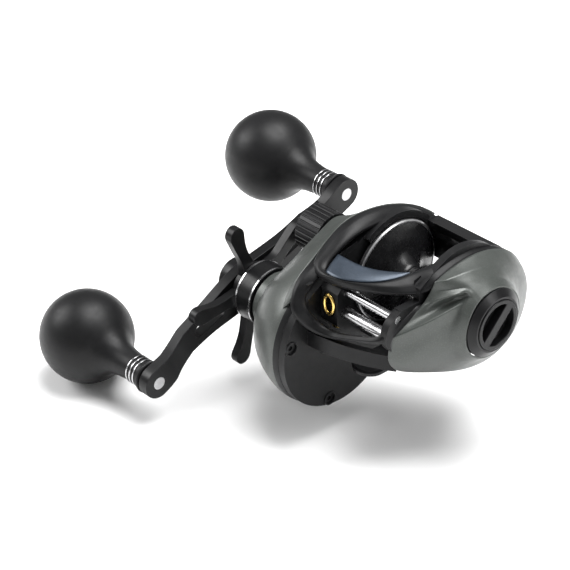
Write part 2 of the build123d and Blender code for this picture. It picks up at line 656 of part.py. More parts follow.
def thumb_bar():
    """Clutch bar behind the spool, pressed down by the thumb; one guide pin at each end."""
    outline = make_face(Polyline((16.0, 36.3), (22.6, 35.2), (24.8, 32.8), (24.6, 30.6), (22.4, 29.6),
                                 (16.0, 29.6), close=True))
    bar = prism(outline, PLATE_IN + 0.4, RING_IN - 0.4)
    for x0, x1, pin in ((PLATE_IN + 0.4, PLATE_IN + 1.8, THUMB_PIN),
                        (RING_IN - 0.4, RING_IN - 1.8, THUMB_PIN_PALM)):
        leg = Polyline((18.4, 31.0), (23.0, 31.0), (pin[0] + 1.2, pin[1] - 1.0), (pin[0] - 1.0, pin[1] - 1.0),
                       close=True)
        bar += prism(make_face(leg), x0, x1)
    bar += thumb_apron(PLATE_IN + 0.4, RING_IN - 0.4)
    bar -= disc(PLATE_IN, RING_IN, SPOOL_RADIUS + 0.5, SPOOL_AXIS)
    bar += disc(CAM_X[1] - 0.2, PLATE_IN + 1.0, THUMB_PIN_RADIUS, THUMB_PIN)
    return bar + disc(RING_IN - 1.0, RING_OUT - 0.3, THUMB_PIN_RADIUS, THUMB_PIN_PALM)


# ---------------------------------------------------------------- anti-reverse and drive bearings
def pinion_bearings():
    """Bearings on both sides of the pinion: one in the frame plate, one in the gear cover."""
    inner = ball_bearing(PLATE_OUT, PLATE_IN - 0.4, 3.3 + RUN, 5.5, SPOOL_AXIS)
    outer = ball_bearing(-34.6, -37.4, 3.3 + RUN, 5.0, SPOOL_AXIS)
    return Compound(children=[*inner.solids(), *outer.solids()])


def spool_bearings():
    """Bearings at both ends of the spool shaft: one in the brake plate, one in the cap boss."""
    palm = ball_bearing(18.2, 21.0, SPOOL_SHAFT_RADIUS + RUN, 5.0, SPOOL_AXIS)
    gear = ball_bearing(-44.0, -46.5, SPOOL_SHAFT_RADIUS + RUN, 4.0, SPOOL_AXIS)
    return Compound(children=[*palm.solids(), *gear.solids()])


def roller_clutch():
    """Outer shell of the one-way clutch, pressed into the gear cover."""
    shell = disc(*CLUTCH_X, 7.0, HUB_AXIS, 6.4)
    shell += disc(CLUTCH_X[0], CLUTCH_X[0] - 0.5, 6.5, HUB_AXIS, 5.0)
    return shell + disc(CLUTCH_X[1] + 0.5, CLUTCH_X[1], 6.5, HUB_AXIS, 5.0)


def clutch_rollers():
    """Needle rollers between the shell and the sleeve."""
    rollers = []
    for index in range(8):
        rollers.append(disc(CLUTCH_X[0] - 0.7, CLUTCH_X[1] + 0.7, 0.84, polar(HUB_AXIS, 5.5, 45 * index)))
    return Compound(children=rollers)


def clutch_sleeve():
    """Hardened sleeve on the drive shaft, inside the rollers."""
    return disc(-37.0, -47.6, SLEEVE_RADIUS, HUB_AXIS, SHAFT_RADIUS + 0.02)


def spring_washers():
    """Dished washers between the sleeve and the star, which give the drag its feel."""
    washers = []
    for index in range(2):
        x = -47.7 - 1.1 * index
        washers.append(turned([(x, 3.6), (x - 0.55, 5.2), (x - 0.95, 5.2), (x - 0.4, 3.6)], HUB_AXIS))
    return Compound(children=washers)


# ---------------------------------------------------------------- star drag, handle and knobs
def star_spoke():
    """Paddle outline of one spoke, along local x."""
    return make_face(Spline(
        (7.0, -3.2), (13.0, -2.3), (19.0, -1.7), (24.0, -2.4), (28.2, -2.7), (STAR_RADIUS, -0.4),
        (28.4, 2.8), (24.0, 3.2), (18.0, 2.6), (12.0, 2.6), (7.0, 3.2), periodic=True))


def star_drag():
    """Star wheel: collar, hub plate and five curved spokes."""
    star = disc(*COLLAR_X, COLLAR_RADIUS, HUB_AXIS, COLLAR_RADIUS - 2.0)
    star += disc(COLLAR_X[1] + 1.6, SPOKE_X[1], 9.6, HUB_AXIS)
    star += disc(-52.0, SPOKE_X[1], 6.0, HUB_AXIS)
    star += disc(COLLAR_X[1] + 1.6, COLLAR_X[1], COLLAR_RADIUS - 0.1, HUB_AXIS)
    for index in range(STAR_SPOKES):
        star += prism(star_spoke(), *SPOKE_X, HUB_AXIS, STAR_PHASE + 360 / STAR_SPOKES * index)
    star -= disc(COLLAR_X[0], SPOKE_X[1], SHAFT_RADIUS + RUN, HUB_AXIS)
    for x in TRIM_RING_X:
        star -= disc(x - 0.3, x + 0.3, COLLAR_RADIUS + 1, HUB_AXIS, COLLAR_RADIUS - 0.3)
    return star


def star_trim_rings():
    """Two fine metal rings round the collar."""
    rings = []
    for x in TRIM_RING_X:
        rings.append(disc(x - 0.3, x + 0.3, COLLAR_RADIUS + 0.12, HUB_AXIS, COLLAR_RADIUS - 0.3))
    return Compound(children=rings)


def arm_outline():
    """Slim double arm with a round eye at each end and a wider middle, along local x."""
    half = HANDLE_LENGTH / 2
    upper, lower = [], []
    for share in (-0.80, -0.62, -0.44, -0.26, 0.0, 0.26, 0.44, 0.62, 0.80):
        s = half * share
        width = 5.0 + 3.4 * cos(radians(90 * share)) ** 6
        middle = -1.3 * sin(2 * pi * s / HANDLE_LENGTH)
        upper.append((s, middle + width))
        lower.append((s, middle - width))
    left, right = (-half - 6.0, 0.0), (half + 6.0, 0.0)
    edges = [
        Spline((-half, 6.0), *upper, (half, 6.0), tangents=((1, 0), (1, 0))),
        ThreePointArc((half, 6.0), right, (half, -6.0)),
        Spline((half, -6.0), *reversed(lower), (-half, -6.0), tangents=((-1, 0), (-1, 0))),
        ThreePointArc((-half, -6.0), left, (-half, 6.0)),
    ]
    return make_face(edges)


def arm_side_profile():
    """Edge view of the arm in the plane of its length and X, with the two bent ends."""
    inner, outer = ARM_IN, ARM_IN - ARM_THICKNESS
    step, reach = ARM_END_STEP, HANDLE_LENGTH / 2 + 7
    return make_face(Polyline(
        (-reach, inner + step), (-43, inner + step), (-32, inner), (32, inner), (43, inner + step),
        (reach, inner + step), (reach, outer + step), (43, outer + step), (32, outer), (-32, outer),
        (-43, outer + step), (-reach, outer + step), close=True))


def handle_arm():
    """Bent double arm with two lightening slots and a flatted bore."""
    plan = prism(arm_outline(), ARM_IN - 8, ARM_IN + 6, HUB_AXIS, HANDLE_ANGLE)
    angle = radians(HANDLE_ANGLE)
    # local x runs along the arm and local y along +X
    edge_plane = Plane(origin=(0, *HUB_AXIS), x_dir=(0, cos(angle), sin(angle)),
                       z_dir=(0, sin(angle), -cos(angle)))
    profile = extrude(edge_plane * arm_side_profile(), amount=12, both=True)
    arm = plan & profile
    for s, t in ((20.5, -1.2), (-20.5, 1.2)):
        slot = Pos(s, t) * SlotOverall(15.0, 4.6, rotation=-3)
        arm -= prism(slot, ARM_IN - 8, ARM_IN + 6, HUB_AXIS, HANDLE_ANGLE)
    bore = Circle(SHAFT_RADIUS + 0.02) & Rectangle(12.0, 5.24)
    arm -= prism(bore, ARM_IN - 8, ARM_IN + 6, HUB_AXIS, HANDLE_ANGLE)
    for share in (-1, 1):
        arm -= disc(ARM_IN - 8, ARM_IN + 6, 2.4, knob_axis(share))
    return arm


def knob_axis(share):
    """Axis (Y, Z) of the rear knob (share 1) or the front knob (share -1)."""
    return polar(HUB_AXIS, share * HANDLE_LENGTH / 2, HANDLE_ANGLE)


def handle_nut():
    """Hexagon nut that clamps the arm on the shaft."""
    seat = ARM_IN - ARM_THICKNESS
    nut = prism(RegularPolygon(5.8, 6), seat, seat - 3.6, HUB_AXIS, HANDLE_ANGLE)
    return nut - disc(-60, -75, 2.62, HUB_AXIS)


def nut_retainer():
    """Cap over the nut that stops it from turning, held by one screw."""
    x0 = ARM_IN - ARM_THICKNESS
    cap = disc(x0, x0 - 5.0, 7.2, HUB_AXIS)
    cap -= disc(x0, x0 - 3.7, 6.2, HUB_AXIS)
    return cap - disc(x0 - 3.7, x0 - 5.0, 2.7, HUB_AXIS)


def retainer_screw():
    """Screw in the end of the drive shaft that holds the retainer."""
    body = disc(-67.2, -71.6, 0.88, HUB_AXIS) + disc(-71.6, -72.6, 3.4, HUB_AXIS)
    return body - prism(RegularPolygon(1.2, 6), -72.0, -72.6, HUB_AXIS)


def knob_pins():
    """Riveted knob pins, with a head flush with the inner face of the arm."""
    pins = []
    for share in (-1, 1):
        axis = knob_axis(share)
        pin = disc(PIN_HEAD_X, ARM_END_OUT, 2.38, axis) + disc(ARM_END_OUT, -112.0, PIN_RADIUS, axis)
        pins.append(pin + disc(-111.0, -112.6, 2.6, axis))
    return Compound(children=pins)


def knob(share):
    """Ball knob: flange, ringed neck and egg-shaped grip, bored for its pin and bearings."""
    start = KNOB_START_X
    neck = [(start, 2.2), (start, 6.2), (start - 1.2, 6.2), (start - 1.8, 5.2)]
    for x in RING_PLACES:
        neck += [(x + 0.3, 5.2), (x + 0.3, 4.9), (x - 0.3, 4.9), (x - 0.3, 5.2)]
    neck += [(-75.5, 5.3), (-83.0, 6.2), (-85.6, 7.6)]
    grip = []
    for step in range(13):
        angle = radians(30 + 11.25 * step)
        grip.append((KNOB_CENTRE_X + KNOB_RADIUS * cos(angle), KNOB_RADIUS * sin(angle)))
    end = [(KNOB_END_X + 0.12, 4.4), (KNOB_END_X + 1.8, 4.4), (KNOB_END_X + 1.8, 3.6),
           (-107.8, 3.6), (-107.8, 2.2)]
    profile = neck + grip + end
    solid = turned(profile, knob_axis(share))
    return solid - disc(start, start - 2.6, 3.5, knob_axis(share))


def knob_bearings(share):
    """Two ball bearings of one knob."""
    axis = knob_axis(share)
    first = ball_bearing(KNOB_START_X - 0.1, KNOB_START_X - 2.5, PIN_RADIUS + RUN, 3.45, axis, 6)
    last = ball_bearing(-107.9, -110.3, PIN_RADIUS + RUN, 3.55, axis, 6)
    return Compound(children=[*first.solids(), *last.solids()])


def knob_cap(share):
    """Cap that closes the knob's outer end."""
    return disc(KNOB_END_X + 0.2, KNOB_END_X + 1.75, 4.35, knob_axis(share))


# ---------------------------------------------------------------- cast control and brake dial
def cast_control_knob():
    """Ribbed cap on the threaded boss of the gear cover."""
    ribs = 28
    outline = Circle(8.9)
    for index in range(ribs):
        outline -= Pos(*polar((0, 0), 9.1, 360 * index / ribs)) * Circle(0.45)
    cap = prism(outline, *CAP_X, SPOOL_AXIS)
    cap -= disc(CAP_X[0], CAST_BOSS_END - 0.2, 6.66, SPOOL_AXIS)
    cap -= disc(CAP_X[0], -53.0, 3.6, SPOOL_AXIS)
    keep = turned([(CAP_X[0] + 1, 0), (CAP_X[0] + 1, 9.4), (-54.8, 9.4),
                   (CAP_X[1], 8.2), (CAP_X[1], 0)], SPOOL_AXIS)
    return cap & keep


def cast_control_shims():
    """Friction discs at the closed end of the cap, which the spool shaft's tip touches."""
    first = disc(-52.9, -52.3, 3.5, SPOOL_AXIS)
    second = disc(-52.2, -51.6, 3.5, SPOOL_AXIS)
    return Compound(children=[first, second])


def dial_bezel():
    """Grooved ring round the brake dial."""
    return turned([
        (29.1, DIAL_GRIP_RADIUS + 0.2), (29.1, DIAL_RADIUS), (DIAL_X - 0.4, DIAL_RADIUS),
        (DIAL_X, DIAL_RADIUS - 0.5), (DIAL_X + 1.5, DIAL_GRIP_RADIUS + 0.9),
        (DIAL_X + 1.5, DIAL_GRIP_RADIUS + 0.2),
    ], SPOOL_AXIS)


def brake_dial():
    """Dial disc with a finger bar between two crescent hollows, and a stem to the magnets."""
    dial = disc(29.2, DIAL_X + 1.9, DIAL_GRIP_RADIUS, SPOOL_AXIS)
    for sign in (-1, 1):
        crescent = Circle(7.6) & (Pos(0, sign * 6.1) * Rectangle(20.0, 8.4))
        dial -= prism(crescent, DIAL_X - 1.2, DIAL_X + 2.0, SPOOL_AXIS, DIAL_BAR_HEADING)
    return dial + disc(24.0, 29.2, 4.0, SPOOL_AXIS)


def magnet_carrier():
    """Plate on the dial's stem that holds the brake magnets."""
    plate = disc(22.4, 24.0, 15.0, SPOOL_AXIS)
    for index in range(8):
        plate -= disc(22.4, 23.4, 1.9, polar(SPOOL_AXIS, 12.0, 45 * index))
    return plate


def brake_magnets():
    """Eight disc magnets that face the induction ring."""
    return Compound(children=[
        disc(21.9, 23.4, 1.85, polar(SPOOL_AXIS, 12.0, 45 * index)) for index in range(8)])


def brake_plate():
    """Fixed plate behind the spool, with the seat of the palm-side spool bearing."""
    plate = disc(18.6, 19.8, 17.2, SPOOL_AXIS, 5.0)
    return plate + disc(17.9, 21.6, 6.0, SPOOL_AXIS, 5.0)


# ---------------------------------------------------------------- level wind
def worm_shaft():
    """Worm with grooves that slant both ways and cross, and a stepped end for its gear."""
    thread = disc(-13.0, 13.0, WORM_RADIUS, WORM_AXIS)
    slant, pitch, turns = 38.0, 3.2, 8
    for turn in range(turns):
        x = (turn - (turns - 1) / 2) * pitch
        for way in (-1, 1):
            thread -= Pos(x, *WORM_AXIS) * Rot(0, 0, way * slant) * Box(0.7, 8.0, 8.0)
    ends = disc(-18.4, -12.9, WORM_RADIUS, WORM_AXIS) + disc(12.9, 17.4, WORM_RADIUS, WORM_AXIS)
    return thread + disc(-19.9, 17.0, WORM_CORE_RADIUS, WORM_AXIS) + ends


def worm_guard():
    """Slotted tube over the worm, open below for the pawl."""
    tube = disc(PLATE_IN - 0.1, RING_IN + 0.1, 2.2, WORM_AXIS, 1.75)
    slot = Pos(0, WORM_AXIS[0], WORM_AXIS[1] - 2.0) * Box(27.0, 1.9, 2.4)
    return tube - slot


def worm_bushings():
    """Bushes that carry the worm in the frame."""
    left = disc(PLATE_OUT, PLATE_IN - 0.1, 3.2, WORM_AXIS, WORM_RADIUS + RUN)
    right = disc(RING_IN + 0.1, RING_OUT, 3.2, WORM_AXIS, WORM_RADIUS + RUN)
    return Compound(children=[left, right])


def guide_rod():
    """Polished rod that keeps the line guide upright."""
    return disc(PLATE_OUT + 0.3, RING_OUT - 0.3, 1.5, ROD_AXIS)


def line_guide_carriage():
    """Block that slides on the worm guard and the rod and holds the line guide ring."""
    outline = make_face(Polyline((-34.2, 17.2), (-34.2, 29.4), (-32.6, 31.4), (-28.0, 31.4),
                                 (-27.0, 30.4), (-27.0, 17.2), (-28.4, 15.6), (-32.6, 15.6), close=True))
    block = prism(outline, GUIDE_X - 3.9, GUIDE_X + 3.9)
    block -= disc(GUIDE_X - 5, GUIDE_X + 5, 2.2 + RUN, WORM_AXIS)
    block -= disc(GUIDE_X - 5, GUIDE_X + 5, 1.5 + RUN, ROD_AXIS)
    block -= Pos(GUIDE_X, -30, 25.4) * Box(3.6, 20, 4.2)
    seat = Plane(origin=(GUIDE_X, -33.2, INSERT_Z), x_dir=(0, 0, 1), z_dir=(0, -1, 0))
    block -= extrude(seat * SlotOverall(INSERT_HEIGHT, INSERT_WIDTH), amount=2)
    return block - Pos(GUIDE_X, WORM_AXIS[0], 16.5) * Cylinder(1.2, 5.0)


def line_guide_insert():
    """Hard-faced upright oval ring that the line runs through."""
    plane = Plane(origin=(GUIDE_X, -33.2, INSERT_Z), x_dir=(0, 0, 1), z_dir=(0, -1, 0))
    wall = 1.25
    outline = SlotOverall(INSERT_HEIGHT, INSERT_WIDTH)
    outline -= SlotOverall(INSERT_HEIGHT - 2 * wall, INSERT_WIDTH - 2 * wall)
    return extrude(plane * outline, amount=1.8)


def pawl():
    """Blade on a round stem that follows the worm's groove, up through the guard's slot."""
    upright = (Align.CENTER, Align.CENTER, Align.MIN)
    stem = Pos(GUIDE_X, WORM_AXIS[0], 15.6) * Cylinder(1.1, 2.6, align=upright)
    blade_top = WORM_AXIS[1] - WORM_RADIUS - 0.08
    blade = Pos(GUIDE_X, WORM_AXIS[0], 18.2) * Box(1.4, 0.6, blade_top - 18.2, align=upright)
    return stem + blade


def pawl_cap():
    """Gold cap nut that holds the pawl in the carriage."""
    upright = (Align.CENTER, Align.CENTER, Align.MIN)
    cap = Pos(GUIDE_X, WORM_AXIS[0], 14.2) * Cylinder(2.0, 1.2, align=upright)
    stem = Pos(GUIDE_X, WORM_AXIS[0], 15.4) * Cylinder(1.15, 0.2, align=upright)
    return cap + stem


# ---------------------------------------------------------------- all nodes
def build():
    """Every node by name."""
    friction, metal, stack_end = drag_stack()
    nodes = {
        "frame": frame(),
        "reel_foot": reel_foot(),
        "foot_rivets": foot_rivets(),
        "front_panel": front_panel(),
        "gear_side_cover": gear_side_cover(),
        "gear_cover_screws": gear_cover_screws(),
        "palm_side_cover": palm_side_cover(),
        "palm_cover_screws": palm_cover_screws(),
        "spool": spool(),
        "spool_shaft": spool_shaft(),
        "spool_drive_pin": spool_drive_pin(),
        "brake_rotor": brake_rotor(),
        "main_gear": main_gear(),
        "drag_friction_washers": friction,
        "drag_metal_washers": metal,
        "drag_pressure_plate": pressure_plate(stack_end),
        "pinion_gear": pinion_gear(),
        "drive_shaft": drive_shaft(),
        "level_wind_drive_gear": level_wind_drive_gear(),
        "worm_gear": worm_gear(),
        "clutch_ratchet": ratchet(),
        "clutch_cam": clutch_cam(),
        "kick_lever": kick_lever(),
        "yoke": yoke(),
        "yoke_posts": yoke_posts(),
        "yoke_springs": yoke_springs(),
        "thumb_bar": thumb_bar(),
        "roller_clutch_shell": roller_clutch(),
        "clutch_rollers": clutch_rollers(),
        "clutch_sleeve": clutch_sleeve(),
        "star_spring_washers": spring_washers(),
        "star_drag": star_drag(),
        "star_trim_rings": star_trim_rings(),
        "handle_arm": handle_arm(),
        "handle_nut": handle_nut(),
        "nut_retainer": nut_retainer(),
        "retainer_screw": retainer_screw(),
        "knob_pins": knob_pins(),
        "cast_control_knob": cast_control_knob(),
        "cast_control_shims": cast_control_shims(),
        "dial_bezel": dial_bezel(),
        "brake_dial": brake_dial(),
        "magnet_carrier": magnet_carrier(),
        "brake_magnets": brake_magnets(),
        "brake_plate": brake_plate(),
        "worm_shaft": worm_shaft(),
        "worm_guard": worm_guard(),
        "worm_bushings": worm_bushings(),
        "guide_rod": guide_rod(),
        "line_guide_carriage": line_guide_carriage(),
        "line_guide_insert": line_guide_insert(),
        "pawl": pawl(),
        "pawl_cap": pawl_cap(),
        "drive_shaft_bearing": ball_bearing(PLATE_OUT, PLATE_OUT + 2.3, 2.5 + RUN, 4.5, HUB_AXIS),
        "pinion_bearings": pinion_bearings(),
        "spool_bearings": spool_bearings(),
    }
    for name, share in (("front", -1), ("rear", 1)):
        nodes[f"{name}_knob"] = Compound(children=[*knob(share).solids(), *knob_cap(share).solids()])
        nodes[f"{name}_knob_bearings"] = knob_bearings(share)
    return nodes


if __name__ == "__main__":
    os.makedirs("parts", exist_ok=True)
    for node, shape in build().items():
        export_step(shape, f"parts/{node}.step")
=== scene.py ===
"""Looks of the baitcasting reel: camera, studio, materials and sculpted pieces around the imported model.

Lengths in the helpers are millimetres (MM turns them into metres). +X is the palm side, -Y the rod tip.
"""
import json
from math import atan2, cos, pi, radians, sin, sqrt

import bmesh
import bpy
from mathutils import Matrix, Vector

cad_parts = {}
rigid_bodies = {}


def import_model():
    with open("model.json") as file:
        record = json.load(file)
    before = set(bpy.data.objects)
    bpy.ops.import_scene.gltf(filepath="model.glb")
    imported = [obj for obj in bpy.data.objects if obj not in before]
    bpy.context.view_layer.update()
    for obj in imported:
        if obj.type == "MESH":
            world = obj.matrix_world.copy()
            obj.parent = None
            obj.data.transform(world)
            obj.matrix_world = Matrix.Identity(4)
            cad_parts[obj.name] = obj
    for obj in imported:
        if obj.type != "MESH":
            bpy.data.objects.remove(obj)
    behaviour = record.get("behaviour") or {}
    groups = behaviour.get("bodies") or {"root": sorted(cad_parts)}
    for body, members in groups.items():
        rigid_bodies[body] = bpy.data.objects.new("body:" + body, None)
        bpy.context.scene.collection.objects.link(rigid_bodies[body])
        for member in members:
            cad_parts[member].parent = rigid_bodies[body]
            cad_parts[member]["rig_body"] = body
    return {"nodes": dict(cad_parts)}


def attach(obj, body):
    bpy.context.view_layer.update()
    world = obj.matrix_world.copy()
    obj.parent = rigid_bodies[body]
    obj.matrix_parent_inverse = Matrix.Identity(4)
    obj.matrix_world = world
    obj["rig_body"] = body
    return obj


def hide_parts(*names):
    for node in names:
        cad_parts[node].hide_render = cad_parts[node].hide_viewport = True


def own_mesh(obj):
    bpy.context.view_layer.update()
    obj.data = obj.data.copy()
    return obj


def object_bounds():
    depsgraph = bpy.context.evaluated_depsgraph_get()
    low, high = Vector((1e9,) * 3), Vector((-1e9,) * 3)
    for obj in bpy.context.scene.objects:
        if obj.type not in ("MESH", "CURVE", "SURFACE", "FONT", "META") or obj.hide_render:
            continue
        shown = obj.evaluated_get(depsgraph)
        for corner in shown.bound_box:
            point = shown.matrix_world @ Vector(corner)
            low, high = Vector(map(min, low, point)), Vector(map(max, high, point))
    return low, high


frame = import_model()
cad_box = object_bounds()

MM = 0.001
SPOOL_AXIS = (0.0, 22.5)       # (Y, Z) of the spool
HUB_AXIS = (-24.0, 4.5)        # (Y, Z) of the handle's shaft
CAMERA_PLACE = (393.95, -424.74, 376.82)
CAMERA_AZIMUTH = 47.53
CAMERA_ELEVATION = 31.54
CAMERA_LENS = 124.67
FLOOR_GAP = 0.0005             # metres between the lowest knob and the floor
FLOOR_HALF = 3.0
HANDLE_ANGLE = 24.9
KNOB_REACH = 50.0              # from the shaft to each knob's axis
KNOB_CENTRE_X = -101.4
KNOB_RADIUS = 17.5
KNOB_RINGS = (-68.6, -70.4, -72.2)


# ---------------------------------------------------------------- camera, floor and light
def make_camera():
    data = bpy.data.cameras.new("camera")
    data.lens = CAMERA_LENS
    data.sensor_width = 36.0
    data.clip_start = 0.01
    data.clip_end = 20.0
    camera = bpy.data.objects.new("camera", data)
    bpy.context.scene.collection.objects.link(camera)
    a, e = radians(CAMERA_AZIMUTH), radians(CAMERA_ELEVATION)
    back = Vector((sin(a) * cos(e), -cos(a) * cos(e), sin(e)))
    right = Vector((cos(a), sin(a), 0.0))
    up = back.cross(right)
    turn = Matrix((right, up, back)).transposed().to_4x4()
    camera.matrix_world = Matrix.Translation(Vector(CAMERA_PLACE) * MM) @ turn
    bpy.context.scene.camera = camera


def area_light(name, place, size, power, target=(0.0, 0.0, 0.015)):
    data = bpy.data.lights.new(name, "AREA")
    data.shape = "RECTANGLE"
    data.size, data.size_y = size
    data.energy = power
    lamp = bpy.data.objects.new(name, data)
    bpy.context.scene.collection.objects.link(lamp)
    lamp.location = place
    aim = Vector(target) - Vector(place)
    lamp.rotation_euler = aim.to_track_quat("-Z", "Y").to_euler()


def make_studio():
    floor_height = cad_box[0][2] - FLOOR_GAP
    mesh = bpy.data.meshes.new("floor")
    corners = [(x * FLOOR_HALF, y * FLOOR_HALF, 0) for x, y in ((-1, -1), (1, -1), (1, 1), (-1, 1))]
    mesh.from_pydata(corners, [], [(0, 1, 2, 3)])
    floor = bpy.data.objects.new("floor", mesh)
    bpy.context.scene.collection.objects.link(floor)
    floor.location.z = floor_height
    paper = bpy.data.materials.new("floor_paper")
    paper.use_nodes = True
    shader = paper.node_tree.nodes["Principled BSDF"]
    shader.inputs["Base Color"].default_value = (0.93, 0.93, 0.93, 1)
    shader.inputs["Roughness"].default_value = 0.9
    shader.inputs["Specular IOR Level"].default_value = 0.1
    mesh.materials.append(paper)
    world = bpy.data.worlds.new("studio")
    world.use_nodes = True
    world.node_tree.nodes["Background"].inputs["Color"].default_value = (1, 1, 1, 1)
    world.node_tree.nodes["Background"].inputs["Strength"].default_value = 0.32
    bpy.context.scene.world = world
    bpy.context.scene.view_settings.view_transform = "Standard"
    area_light("top_softbox", (0.05, 0.15, 0.9), (0.7, 0.7), 16.0)
    area_light("left_softbox", (-0.75, -0.45, 0.55), (0.5, 0.5), 7.0)
    area_light("right_strip", (0.75, 0.35, 0.45), (0.25, 0.7), 4.0)


# ---------------------------------------------------------------- materials
class Nodes:
    """Short way to add and link shader nodes of one material."""

    def __init__(self, name):
        plain = bpy.data.materials.get(name)
        if plain:
            plain.name = f"{name}.cad"
        self.material = bpy.data.materials.new(name)
        self.material.use_nodes = True
        self.tree = self.material.node_tree
        self.shader = self.tree.nodes["Principled BSDF"]

    def add(self, kind, **inputs):
        node = self.tree.nodes.new(kind)
        for key, value in inputs.items():
            socket = key.replace("_", " ")
            if hasattr(value, "links"):
                self.tree.links.new(value, node.inputs[socket])
            else:
                node.inputs[socket].default_value = value
        return node

    def link(self, output, socket):
        self.tree.links.new(output, socket)

    def math(self, operation, *values):
        node = self.tree.nodes.new("ShaderNodeMath")
        node.operation = operation
        for index, value in enumerate(values):
            if hasattr(value, "links"):
                self.tree.links.new(value, node.inputs[index])
            else:
                node.inputs[index].default_value = value
        return node.outputs[0]

    def noise(self, scale, detail=3.0, stretch=None, roughness=0.55):
        place = self.add("ShaderNodeTexCoord").outputs["Object"]
        if stretch:
            place = self.add("ShaderNodeMapping", Vector=place, Scale=stretch).outputs["Vector"]
        node = self.add("ShaderNodeTexNoise", Vector=place, Scale=scale, Detail=detail, Roughness=roughness)
        return node.outputs["Fac"]

    def between(self, fac, low, high, from_low=0.3, from_high=0.7):
        node = self.add("ShaderNodeMapRange", Value=fac)
        node.inputs["From Min"].default_value = from_low
        node.inputs["From Max"].default_value = from_high
        node.inputs["To Min"].default_value = low
        node.inputs["To Max"].default_value = high
        return node.outputs["Result"]

    def colours(self, fac, first, second):
        node = self.tree.nodes.new("ShaderNodeMix")
        node.data_type = "RGBA"
        self.tree.links.new(fac, node.inputs["Factor"])
        self.set_colour(node.inputs[6], first)
        self.set_colour(node.inputs[7], second)
        return node.outputs[2]

    def set_colour(self, socket, colour):
        if hasattr(colour, "links"):
            self.tree.links.new(colour, socket)
        else:
            socket.default_value = (*colour, 1.0)

    def edges(self, radius):
        """1 on sharp outer edges, 0 on flats."""
        bevel = self.add("ShaderNodeBevel", Radius=radius)
        bevel.samples = 4
        normal = self.add("ShaderNodeNewGeometry").outputs["Normal"]
        dot = self.tree.nodes.new("ShaderNodeVectorMath")
        dot.operation = "DOT_PRODUCT"
        self.tree.links.new(bevel.outputs["Normal"], dot.inputs[0])
        self.tree.links.new(normal, dot.inputs[1])
        return self.between(dot.outputs["Value"], 1.0, 0.0, 0.86, 0.985)

    def axis_distance(self, centre):
        """Distance from an axis along X, for the fine rings that a lathe leaves."""
        place = self.add("ShaderNodeTexCoord").outputs["Object"]
        parts = self.add("ShaderNodeSeparateXYZ", Vector=place)
        dy = self.math("SUBTRACT", parts.outputs["Y"], centre[0] * MM)
        dz = self.math("SUBTRACT", parts.outputs["Z"], centre[1] * MM)
        squares = self.math("ADD", self.math("MULTIPLY", dy, dy), self.math("MULTIPLY", dz, dz))
        return self.math("SQRT", squares), parts.outputs["X"]

    def lathe_rings(self, centre, scale):
        distance, along = self.axis_distance(centre)
        join = self.tree.nodes.new("ShaderNodeCombineXYZ")
        self.tree.links.new(distance, join.inputs["X"])
        self.tree.links.new(along, join.inputs["Y"])
        node = self.add("ShaderNodeTexNoise", Vector=join.outputs["Vector"], Scale=scale, Detail=2.0)
        return node.outputs["Fac"]

    def bump(self, height, strength, distance):
        node = self.add("ShaderNodeBump", Height=height, Strength=strength, Distance=distance)
        self.link(node.outputs["Normal"], self.shader.inputs["Normal"])

    def plain(self, **values):
        for key, value in values.items():
            self.shader.inputs[key.replace("_", " ")].default_value = value


def coated(name, colour, worn, roughness, metallic=0.0, grain=2600.0, bump=0.12, coat=0.0, centre=None,
           specular=0.5, patchy=0.25):
    """Painted or anodised surface: fine grain, slight cloudiness and lighter rubbed edges."""
    n = Nodes(name)
    cloud = n.noise(90.0, 4.0)
    darker = tuple(c * (1 - patchy) for c in colour)
    base = n.colours(n.between(cloud, 0.0, 1.0), darker, colour)
    fleck = n.noise(grain, 2.0)
    lighter = tuple(min(1, c * 1.9 + 0.004) for c in colour)
    base = n.colours(n.between(fleck, 0.0, 0.35, 0.5, 0.75), base, lighter)
    edge = n.math("MULTIPLY", n.edges(0.00022), n.between(n.noise(420.0, 5.0), 0.15, 1.0, 0.35, 0.62))
    base = n.colours(edge, base, worn)
    n.link(base, n.shader.inputs["Base Color"])
    spread = n.between(n.noise(320.0, 5.0), roughness - 0.05, roughness + 0.07)
    n.link(spread, n.shader.inputs["Roughness"])
    height = n.lathe_rings(centre, 5200.0) if centre else fleck
    n.bump(height, bump, 0.00004)
    n.plain(Metallic=metallic, Coat_Weight=coat, Coat_Roughness=0.25, Specular_IOR_Level=specular)
    return n.material


def metal(name, colour, roughness, centre=None, dark=0.75, bump=0.1):
    """Bare metal with fine grain or turning marks and faint smudges."""
    n = Nodes(name)
    smudge = n.noise(160.0, 5.0)
    base = n.colours(n.between(smudge, 0.0, 1.0), tuple(c * dark for c in colour), colour)
    n.link(base, n.shader.inputs["Base Color"])
    grain = n.lathe_rings(centre, 6500.0) if centre else n.noise(1500.0, 3.0)
    spread = n.between(smudge, roughness - 0.05, roughness + 0.08)
    total = n.math("ADD", spread, n.between(grain, -0.05, 0.05))
    n.link(total, n.shader.inputs["Roughness"])
    n.bump(grain, bump, 0.00003)
    n.plain(Metallic=1.0)
    return n.material


